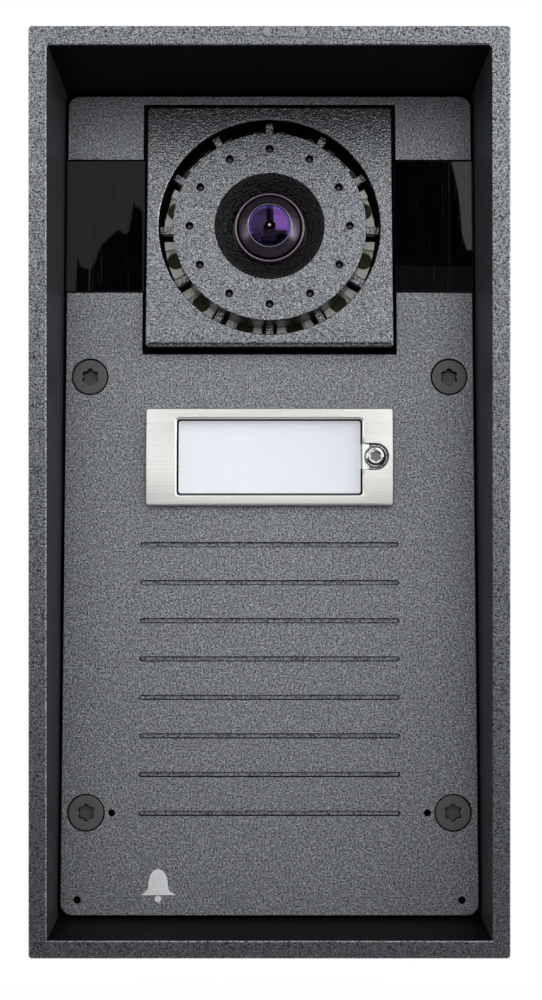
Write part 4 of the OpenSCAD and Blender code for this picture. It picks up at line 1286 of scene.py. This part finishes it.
    def add_pads(self, bm: BMesh, centre: Vector, back: float) -> None:
        """Adds the pale pads on both sides of each spoke; the upper ones take a darker copy as painted shade.

        Args:
            bm: the ring's mesh.
            centre: the centre of the slot.
            back: the distance from the wall of the ring's face.
        """
        for step in range(self.spokes):
            spoke = FULL_TURN * step / self.spokes
            for side in (-1, 1):
                start, end = (spoke + side * math.radians(angle) for angle in self.pad_angles)
                outer = arc_points(centre, self.pad_outer, start, end, 4)
                inner = arc_points(centre, self.pad_inner, end, start, 4)
                # painted shade: pads high on the ring take the darker copy
                shaded = int(math.sin((start + end) / 2) > self.shaded_rise)
                extrude_outline(bm, [outer + inner], back - 0.1 * MM, back + self.pad_height, shaded)


@dataclass
class Lens(SubAssembly):
    """The camera lens with its metal rings and coated glass."""

    outfit: ClassVar[Outfit] = (
        (Finishes.plastic, "lens_barrel lens_holder"), (Finishes.rubber, "lens_seal"),
        (Finishes.board, "camera_board"), (Finishes.sensor, "image_sensor"),
        (Finishes.zinc, "camera_screws"), (Finishes.film, "camera_cable"),
    )
    bead_round: float = 0.34 * MM
    trim_radius: float = 5.6 * MM
    trim_bead: float = 0.18 * MM
    bulge: float = 0.72 * MM
    glass_radius: float = 6.3 * MM
    glass_edge: float = 1.7 * MM

    def build(self) -> None:
        """Turns the rings and the glass of the lens."""
        self.turn_lip()
        self.turn_cone()
        self.turn_trim()
        self.turn_glass()

    def turn_lip(self) -> None:
        """Turns the rounded lip round the lens."""
        bm = merged("lens_lip_ring")
        rounded(bm, self.bead_round, in_front(-span("lens_lip_ring")[0].y - 0.02 * MM), 6)
        self.settle(piece("turned_lip_ring", bm, [Finishes.lip_metal], 40.0), "lens_metal", "lens_lip_ring")

    def turn_cone(self) -> None:
        """Turns the crowned cone between the lip and the trim ring."""
        low, high = span("lens_cone")
        foot, neck = (high.x - low.x) / 2, self.trim_radius - 0.05 * MM
        top, back = -low.y, -high.y
        start = -span("lens_lip_ring")[0].y + 0.45 * MM
        shares = (step / 8 for step in range(9))
        crown = [(foot - (foot - neck) * t, start + (top - start) * t ** 0.95) for t in shares]
        bore = neck - 0.9 * MM
        profile = [(bore, back), (foot, back), *crown, (bore, top), (bore, back)]
        made = self.turned("turned_cone", "lens_cone", profile, Finishes.cone_metal)
        self.settle(made, "lens_metal", "lens_cone")

    def turn_trim(self) -> None:
        """Turns the thin bright ring round the glass."""
        low, high = span("lens_trim_ring")
        centre, reach = self.trim_radius - self.trim_bead, -low.y - self.trim_bead
        arc = (math.pi * step / 8 for step in range(9))
        bead = [(centre + self.trim_bead * math.cos(a), reach + self.trim_bead * math.sin(a)) for a in arc]
        inner, outer, back = centre - self.trim_bead, self.trim_radius, -high.y - 0.1 * MM
        profile = [(outer, back), *bead, (inner, back), (outer, back)]
        made = self.turned("turned_trim", "lens_trim_ring", profile, Finishes.trim, 60.0)
        self.settle(made, "lens_metal", "lens_trim_ring")

    def turn_glass(self) -> None:
        """Turns the domed front glass from its profile."""
        back, edge = -span("front_lens")[1].y, -span("lens_trim_ring")[1].y
        radius = self.trim_radius - 2 * self.trim_bead
        dome = (radius ** 2 + self.bulge ** 2) / (2 * self.bulge)
        rim, step_up = self.glass_radius, back + self.glass_edge
        profile = [(0.0, back), (rim, back), (rim, step_up), (radius, step_up)]
        for step in range(17):
            across = radius * (1 - step / 16)
            profile.append((across, edge + math.sqrt(dome ** 2 - across ** 2) - (dome - self.bulge)))
        made = self.turned("front_glass", "front_lens", profile, Finishes.glass)
        self.settle(made, "lens_glass", "front_lens")


@dataclass
class Speaker(SubAssembly):
    """The loudspeaker behind the sound slot."""

    outfit: ClassVar[Outfit] = (
        (Finishes.plastic, "speaker_chamber"), (Finishes.basket, "speaker_basket speaker_magnet"),
        (Finishes.steel, "speaker_yoke"), (Finishes.spider, "spider"), (Finishes.zinc, "speaker_screws"),
        (Finishes.cone, "speaker_cone dust_cap"), (Finishes.copper, "voice_coil"),
    )
    roll_reach: float = 1.8 * MM
    sheet: float = 0.4 * MM
    roll_start: float = 36.0
    rim_width: float = 3.3 * MM
    seam: Place = (22.3 * MM, 23.5 * MM)

    def build(self) -> None:
        """Turns the surround as a roll on the frame and a flange that moves with the cone."""
        low, high = span("cone_surround")
        back, reach = -high.y, (high.x - low.x) / 2
        centre = reach - self.rim_width
        angles = [math.radians(self.roll_start + (180 - self.roll_start) * step / 16) for step in range(17)]

        def arc(radius: float) -> list[Place]:
            """The roll's profile at a radius."""
            return [(centre - radius * math.cos(a), back + radius * math.sin(a)) for a in angles]

        outer = [point for point in arc(self.roll_reach) if point[1] > back + self.sheet]
        rim = [(reach, back + self.sheet), (reach, back)]
        profile = [*outer, *rim, *reversed(arc(self.roll_reach - self.sheet)), outer[0]]
        roll = self.turned("surround_roll", "cone_surround", profile, Finishes.rubber)
        self.settle(roll, "black_rubber", "cone_surround")
        inner, edge = self.seam
        front = back + self.sheet
        profile = [(inner, back), (edge, back), (edge, front), (inner, front), (inner, back)]
        flange = self.turned("surround_flange", "cone_surround", profile, Finishes.rubber)
        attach(flange, "cone")
        LOG.info("built %s on the cone", flange.name)


@dataclass
class CallButton(SubAssembly):
    """The name plate that is pressed to ring."""

    body: ClassVar[str] = "button"
    outfit: ClassVar[Outfit] = (
        (Finishes.card, "name_card"), (Finishes.opal, "light_diffuser"),
        (Finishes.plastic, "button_carrier"),
    )
    outline_round: float = 0.28 * MM
    window_round: float = 0.55 * MM
    back_zone: float = 0.4 * MM
    opening_reach: float = 0.4 * MM
    floor_depth: float = 0.45 * MM
    floor_reach: float = 4 * MM
    lit_start: float = 1.6 * MM
    screw_round: float = 1.15 * MM
    recess_round: float = 0.12 * MM
    recess_mouth: float = 2.0 * MM
    recess_floor: float = 1.6 * MM
    head_rim: float = 2.4 * MM
    head_side: float = 2.55 * MM
    head_height: float = 0.6 * MM
    painted_shade_depth: float = 0.5 * MM
    tab_width: float = 3.2 * MM
    tab_sheet: float = 0.33 * MM
    tab_start: float = 1.9 * MM
    tab_gap: float = 0.16 * MM
    pane_gap: float = 0.22 * MM

    def build(self) -> None:
        """Shapes the plate, its clear window and the screw."""
        self.build_plate()
        self.build_window()
        self.build_screw()

    def build_plate(self) -> None:
        """Rounds the plate and paints shade on its opening and the floor under the tab, with painted light on
        the floor's lit end.
        """
        bm = merged("button_plate")
        ahead = in_front(-span("button_plate")[1].y + self.back_zone)
        rounded(bm, self.window_round, lambda e: ahead(e) and self.at_window(e), 4, sharp=50.0)
        rounded(bm, self.outline_round, lambda e: ahead(e) and not self.at_window(e), 3, sharp=50.0)
        cut = centre_of("window_screw") - Vector((self.lit_start, 0, 0))
        bmesh.ops.bisect_plane(bm, geom=[*bm.verts, *bm.edges, *bm.faces], plane_co=cut, plane_no=(1, 0, 0))
        numbered(bm, lambda part, mid: self.number(part, mid, cut.x))
        finishes = [Finishes.nickel, Finishes.shade, Finishes.opal]
        self.settle(piece("name_plate", bm, finishes), "nickel", "button_plate")

    def number(self, face: BMFace, mid: Vector, cut: float) -> int:
        """Tells the finish of a face of the plate: 1 for painted shade, 2 for painted light in pale opal at
        the lit end of the tab's floor.

        Args:
            face: the face.
            mid: its middle.
            cut: where the lit end stops, across.

        Returns:
            The number of its finish.
        """
        low, high = span("button_plate")
        sunk = face.normal.y < -0.9 and abs(-mid.y - self.tab_floor()) < 0.06 * MM
        # painted light: the tab floor's left end wears pale opal in place of nickel; the rest, painted shade
        if sunk and self.reach(mid) < self.floor_reach:
            return 2 if mid.x < cut else 1
        inside = abs(mid.x) < high.x - 2 * MM and low.z + 2 * MM < mid.z < high.z - 2 * MM
        return int(inside and abs(face.normal.y) < 0.1)

    def build_screw(self) -> None:
        """Rounds the window's screw and shades what lies under its head."""
        bm = merged("window_screw")
        top, turn = -span("window_screw")[0].y, Matrix.Rotation(LOBE_TURN, 3, "Y")
        bmesh.ops.rotate(bm, verts=bm.verts[:], cent=centre_of("window_screw"), matrix=turn)
        crown, mouth = in_front(top - 0.05 * MM), in_front(top - 0.3 * MM)
        rounded(bm, self.screw_round, lambda e: crown(e) and self.off_axis(e) > self.head_rim, 7)
        rounded(bm, self.recess_round, lambda e: mouth(e) and self.off_axis(e) < self.recess_mouth, 2)

        def number(face: BMFace, mid: Vector) -> int:
            """Tells the finish of a face: 2 for the floor of the recess in a darker copy of the chrome, 1
            under the head, both painted shade.
            """
            if -mid.y >= top - self.head_height:
                return 0
            if self.reach(mid) < self.recess_floor and abs(face.normal.y) > 0.9:
                return 2
            return int(self.reach(mid) > self.head_side)

        numbered(bm, number)
        finishes = [Finishes.chrome, Finishes.shade, Finishes.recess]
        self.settle(piece("window_screw_head", bm, finishes), "nickel", "window_screw")

    def at_window(self, edge: BMEdge) -> bool:
        """Tells whether an edge of the plate belongs to the window's opening."""
        mid, pane, level = middle(edge), span("name_window")[1], centre_of("button_plate").z
        return abs(mid.x) < pane.x + self.opening_reach and abs(mid.z - level) < pane.z - level

    def tab_floor(self) -> float:
        """The distance from the wall of the sunk floor under the tab."""
        return -span("button_plate")[0].y - self.floor_depth

    def reach(self, point: Vector) -> float:
        """How far a point lies from the window screw's axis."""
        away = point - centre_of("window_screw")
        return math.hypot(away.x, away.z)

    def off_axis(self, edge: BMEdge) -> float:
        """How far an edge lies from the window screw's axis."""
        return self.reach(middle(edge))

    def build_window(self) -> None:
        """Shapes the clear window with its screw tab."""
        low, high = span("name_window")
        centre = (low + high) / 2
        bm = merged("name_window")
        raised = [v for v in bm.verts if abs(v.co.x) < high.x - 1 * MM]
        for vert in raised:
            vert.co.x -= math.copysign(self.pane_gap, vert.co.x)
            vert.co.z -= math.copysign(self.pane_gap, vert.co.z - centre.z)
        rounded(bm, 0.3 * MM, in_front(-low.y - 0.05 * MM), 3)
        # painted shade: the pane's sunk front flange wears the recess shade as a dark outline
        numbered(bm, lambda part, mid: part.normal.y < -0.9 and mid.y > low.y + self.painted_shade_depth)
        self.add_tab(bm)
        made = piece("clear_name_window", bm, [Finishes.pane, Finishes.shade])
        self.settle(made, "clear_window", "name_window")

    def add_tab(self, bm: BMesh) -> None:
        """Adds the clear tab that the window's screw holds.

        Args:
            bm: the window's mesh.
        """
        low, high = span("window_screw")
        axis, back = centre_of("window_screw"), self.tab_floor() + 0.02 * MM
        start = span("name_window")[1].x - self.tab_start
        outer, inner = self.tab_width - self.tab_gap, (high.x - low.x) / 2 + 0.05 * MM
        arc = arc_points(axis, outer, math.pi / 2, -math.pi / 2, 24)
        outline = [(start, axis.z + outer), *arc, (start, axis.z - outer)]
        hole = arc_points(axis, inner, 0.0, FULL_TURN, 48)[:-1]
        extrude_outline(bm, [outline, hole], back, back + self.tab_sheet)


@dataclass
class ButtonWorks(SubAssembly):
    """The bracket, board, switch and springs under the button."""

    outfit: ClassVar[Outfit] = (
        (Finishes.board, "button_board"), (Finishes.plastic, "switch_body"),
        (Finishes.cap, "switch_plunger"), (Finishes.zinc, "return_springs bracket_screws"),
        (Finishes.clear, "button_leds"), (Finishes.steel, "button_bracket"),
    )


@dataclass
class Electronics(SubAssembly):
    """The main board with its parts, and the microphones."""

    outfit: ClassVar[Outfit] = (
        (Finishes.board, "main_board"), (Finishes.plastic, "processor"),
        (Finishes.sleeve, "board_capacitors"), (Finishes.steel, "network_socket"),
        # the microphones wear the near-black foam as painted shade in their holes
        (Finishes.gasket, "microphones"), (Finishes.terminal, "terminal_block"),
        (Finishes.zinc, "board_screws"), (Finishes.rubber, "microphone_boots"),
    )


# ----------------------------------------------------------------------------- studio


@dataclass(frozen=True)
class Softbox:
    """A soft rectangular lamp, aimed at the station or square to the wall."""

    name: str
    place: Colour
    size: Place
    radiance: float
    aimed: bool = True
    mirrored: bool = True

    def build(self) -> None:
        """Makes the lamp, unseen by the camera itself."""
        data = bpy.data.lights.new(self.name, "AREA")
        data.shape = "RECTANGLE"
        data.size, data.size_y = self.size
        data.energy = self.radiance * math.pi * self.size[0] * self.size[1]
        lamp = linked(self.name, data)
        lamp.location = self.place
        aim = Vector((0.0, -0.05, 0.0)) - Vector(self.place)
        square = (math.pi / 2, 0.0, 0.0)
        lamp.rotation_euler = aim.to_track_quat("-Z", "Y").to_euler() if self.aimed else square
        lamp.visible_camera = False
        lamp.visible_glossy = self.mirrored


@dataclass(frozen=True)
class StudioCard:
    """A flat card that only shows in reflections."""

    name: str
    corners: tuple[Colour, ...]
    tone: float

    def build(self) -> None:
        """Makes the card through its corners."""
        bm = bmesh.new()
        bm.faces.new([bm.verts.new(corner) for corner in self.corners])
        mesh = mesh_of(self.name, bm)
        card = linked(self.name, mesh)
        paint, graph = blank_material(self.name)
        glow = graph.add("ShaderNodeEmission", {"Color": (self.tone,) * 3, "Strength": 1.0})
        graph.add("ShaderNodeOutputMaterial", {"Surface": glow.outputs[0]})
        mesh.materials.append(paint)
        card.visible_camera = card.visible_diffuse = card.visible_shadow = False


def rect(left: float, right: float, low: float, high: float) -> tuple[Place, ...]:
    """The corners of a rectangle in its own plane."""
    return (left, low), (right, low), (right, high), (left, high)


def upright(depth: float, *edges: float) -> tuple[Colour, ...]:
    """The corners of an upright card that faces the wall, from its distance and its four edges."""
    return tuple((x, -depth, z) for x, z in rect(*edges))


def level(height: float, *edges: float) -> tuple[Colour, ...]:
    """The corners of a level card, from its height and its four edges."""
    return tuple((x, y, height) for x, y in rect(*edges))


EYE = Vector((0.00036, -0.42348, -0.02863))
BEND = 2 * math.atan(Finishes.window.bend)


def mirrored(depth: float, *corners: Place, bend: float = 0.0) -> tuple[Colour, ...]:
    """The corners of a card whose image in a dark window covers given places on it.

    Args:
        depth: the card's distance from the wall.
        corners: the places on the window across and up, in millimetres.
        bend: how far the window turns its reflections inwards there.

    Returns:
        The corners in space.
    """
    face = -span("ir_window_left")[0].y
    growth = (depth - EYE.y - 2 * face) / (-EYE.y - face)
    shift = (depth - face) * math.tan(bend)
    placed = []
    for x, z in corners:
        across = EYE.x + (x * MM - EYE.x) * growth - math.copysign(shift, x)
        placed.append((across, -depth, EYE.z + (z * MM - EYE.z) * growth))
    return tuple(placed)


@dataclass
class Studio:
    """The floor, the lamps, the world and the camera."""

    floor_height: float = -0.3
    ambient: float = 0.35
    camera_rise: float = 4.397
    focal: float = 54.18
    softboxes: tuple[Softbox, ...] = (
        Softbox("right_wall_of_light", (0.58, -1.2, 0.85), (0.92, 1.5), 1.5, aimed=False),
        Softbox("left_wall_of_light", (-0.56, -1.2, 0.85), (0.92, 1.5), 1.15, aimed=False),
        Softbox("right_key", (1.35, -0.8, 0.3), (0.7, 1.0), 4.5),
        Softbox("left_key", (-1.35, -0.8, 0.3), (0.7, 1.0), 2.0),
        Softbox("top_strip", (0.0, -0.8, 1.15), (1.6, 0.7), 0.5),
        Softbox("front_fill", (0.0, -0.6, 0.15), (0.3, 0.2), 4.2, mirrored=False),
    )
    cards: tuple[StudioCard, ...] = (
        StudioCard("backdrop", upright(1.25, -1.9, 1.9, -0.3, 1.75), 0.02),
        StudioCard("left_front_card", upright(1.21, -1.9, -1.02, -0.3, 1.75), 0.4),
        StudioCard("right_front_card", upright(1.21, 1.04, 1.9, -0.3, 1.75), 1.0),
        StudioCard("left_side_card", tuple((-1.9, y, z) for y, z in rect(-1.25, 0.3, -0.3, 1.75)), 0.4),
        StudioCard("ceiling_card", level(1.72, -1.9, 1.9, -1.25, 0.3), 0.1),
        StudioCard("gap_card", upright(1.19, -0.1, 0.13, 0.22, 1.7), 0.12),
        StudioCard("centre_card", upright(1.185, -0.25, 0.25, 0.02, 0.22), 1.25),
        StudioCard("plate_card", upright(1.185, -0.2, 0.2, -0.12, 0.02), 1.1),
        StudioCard("left_head_card", upright(1.185, -0.6, -0.1, 0.3, 0.75), 1.7),
        StudioCard("right_head_card", upright(1.185, 0.13, 0.6, 0.3, 0.75), 2.0),
        StudioCard("floor_flag", level(-0.298, -1.6, 1.6, -1.25, -0.2), 0.03),
        StudioCard("low_card", upright(1.19, -1.9, 1.9, -0.297, 0.1), 0.05),
        StudioCard("head_shade", upright(1.18, -0.17, 0.17, 0.2, 0.4), 0.05),
        StudioCard("left_sky", mirrored(1.17, *rect(-46, -30, 50, 88)), 0.5),
        StudioCard("left_sky_edge", mirrored(1.17, *rect(-52, -45, 50, 88), bend=BEND), 0.5),
        StudioCard("tree_line", mirrored(
            1.16, (-45.6, 50), (-45.6, 57.7), (-44.1, 60), (-43.4, 62.5), (-42.4, 64.6), (-40, 66.6),
            (-38.6, 67.9), (-37.6, 68.4), (-35.9, 67.2), (-35, 68), (-34.5, 70.2), (-34.1, 72.5),
            (-33.7, 75.4), (-33.4, 76), (-33, 74.4), (-32.6, 74.6), (-31, 73.5), (-31, 50)), 0.0),
        StudioCard("tree_line_edge", mirrored(
            1.16, (-49.6, 50), (-49.15, 60.8), (-48.4, 58.5), (-47.4, 57.7), (-45.3, 57.7), (-45.3, 50),
            bend=BEND), 0.0),
        StudioCard("right_dark", mirrored(1.17, *rect(30, 46, 50, 88)), 0.0),
        StudioCard("right_dark_edge", mirrored(1.17, *rect(45, 52, 50, 88), bend=BEND), 0.0),
        StudioCard("right_glow", mirrored(
            1.16, (46.6, 86), (47.6, 82), (48.3, 78.4), (48.8, 74.3), (49.4, 66.1), (50.7, 62.5),
            (52, 62.5), (52, 86), bend=BEND), 1.2),
        StudioCard("right_foot", mirrored(1.16, (30, 50), (46, 50), (46, 58.6), (30, 59)), 0.08),
        StudioCard("right_foot_edge", mirrored(
            1.16, (45, 50), (52, 50), (52, 58), (45, 58.6), bend=BEND), 0.08),
    )

    def build(self) -> None:
        """Sets the whole studio."""
        scene = bpy.context.scene
        scene.view_settings.view_transform = "Standard"
        self.build_floor()
        self.build_world()
        for part in (*self.softboxes, *self.cards):
            part.build()
        self.build_camera()

    def pale(self, graph: Graph) -> Socket:
        """How far a ray shows the pale background: camera, glossy and clear rays.

        Args:
            graph: the graph of the floor or the world.

        Returns:
            1 for those rays and 0 for the rest.
        """
        path = graph.add("ShaderNodeLightPath").outputs
        seen = graph.math("MAXIMUM", path["Is Camera Ray"], path["Is Glossy Ray"])
        return graph.math("MAXIMUM", seen, path["Is Transmission Ray"])

    def build_floor(self) -> None:
        """Makes the pale floor that keeps a faint shadow."""
        bm = bmesh.new()
        bmesh.ops.create_grid(bm, x_segments=1, y_segments=1, size=6.0)
        bmesh.ops.translate(bm, verts=bm.verts[:], vec=(0, 0, self.floor_height))
        mesh = mesh_of("floor", bm)
        floor = linked("floor", mesh)
        paint, graph = blank_material("floor_paint")
        matt = graph.add("ShaderNodeBsdfDiffuse", {"Color": (0.8, 0.8, 0.8)})
        glow = graph.add("ShaderNodeEmission", {"Color": (1.0, 1.0, 1.0), "Strength": 1.0})
        away = graph.add("ShaderNodeVectorMath", {0: graph.place()}, operation="LENGTH").outputs["Value"]
        share = graph.math("MULTIPLY", self.pale(graph), graph.spread(away, 0.4, 0.8, 0.82, 1.0))
        mixed = graph.add("ShaderNodeMixShader", {0: share, 1: matt.outputs[0], 2: glow.outputs[0]})
        graph.add("ShaderNodeOutputMaterial", {"Surface": mixed.outputs[0]})
        mesh.materials.append(paint)

    def build_world(self) -> None:
        """Makes a dim even world that looks white from the camera."""
        world = bpy.data.worlds.new("studio_world")
        bpy.context.scene.world = world
        world.use_nodes = True
        world.node_tree.nodes.clear()
        graph = Graph(world.node_tree)
        dim = graph.add("ShaderNodeBackground", {"Color": (1.0, 1.0, 1.0), "Strength": self.ambient})
        white = graph.add("ShaderNodeBackground", {"Color": (1.0, 1.0, 1.0), "Strength": 1.0})
        feeds = {0: self.pale(graph), 1: dim.outputs[0], 2: white.outputs[0]}
        mixed = graph.add("ShaderNodeMixShader", feeds)
        graph.add("ShaderNodeOutputWorld", {"Surface": mixed.outputs[0]})

    def build_camera(self) -> None:
        """Sets the camera in front of the station, a little low and looking up."""
        data = bpy.data.cameras.new("camera")
        data.lens = self.focal
        data.sensor_width = 36.0
        data.clip_start, data.clip_end = 0.01, 50.0
        camera = linked("camera", data)
        camera.location = EYE
        camera.rotation_euler = (math.radians(90.0 + self.camera_rise), 0.0, 0.0)
        bpy.context.scene.camera = camera


def main() -> None:
    """Builds and dresses every sub-assembly, then sets the studio."""
    logging.basicConfig(level=logging.INFO, format="%(name)s: %(message)s")
    parts = (RainHood(), FrontPanel(), InfraredWindows(), CameraHead(), Lens(), Speaker(), CallButton(),
             ButtonWorks(), Electronics())
    for part in parts:
        part.build()
        part.dress()
    Studio().build()


if __name__ == "__main__":
    main()
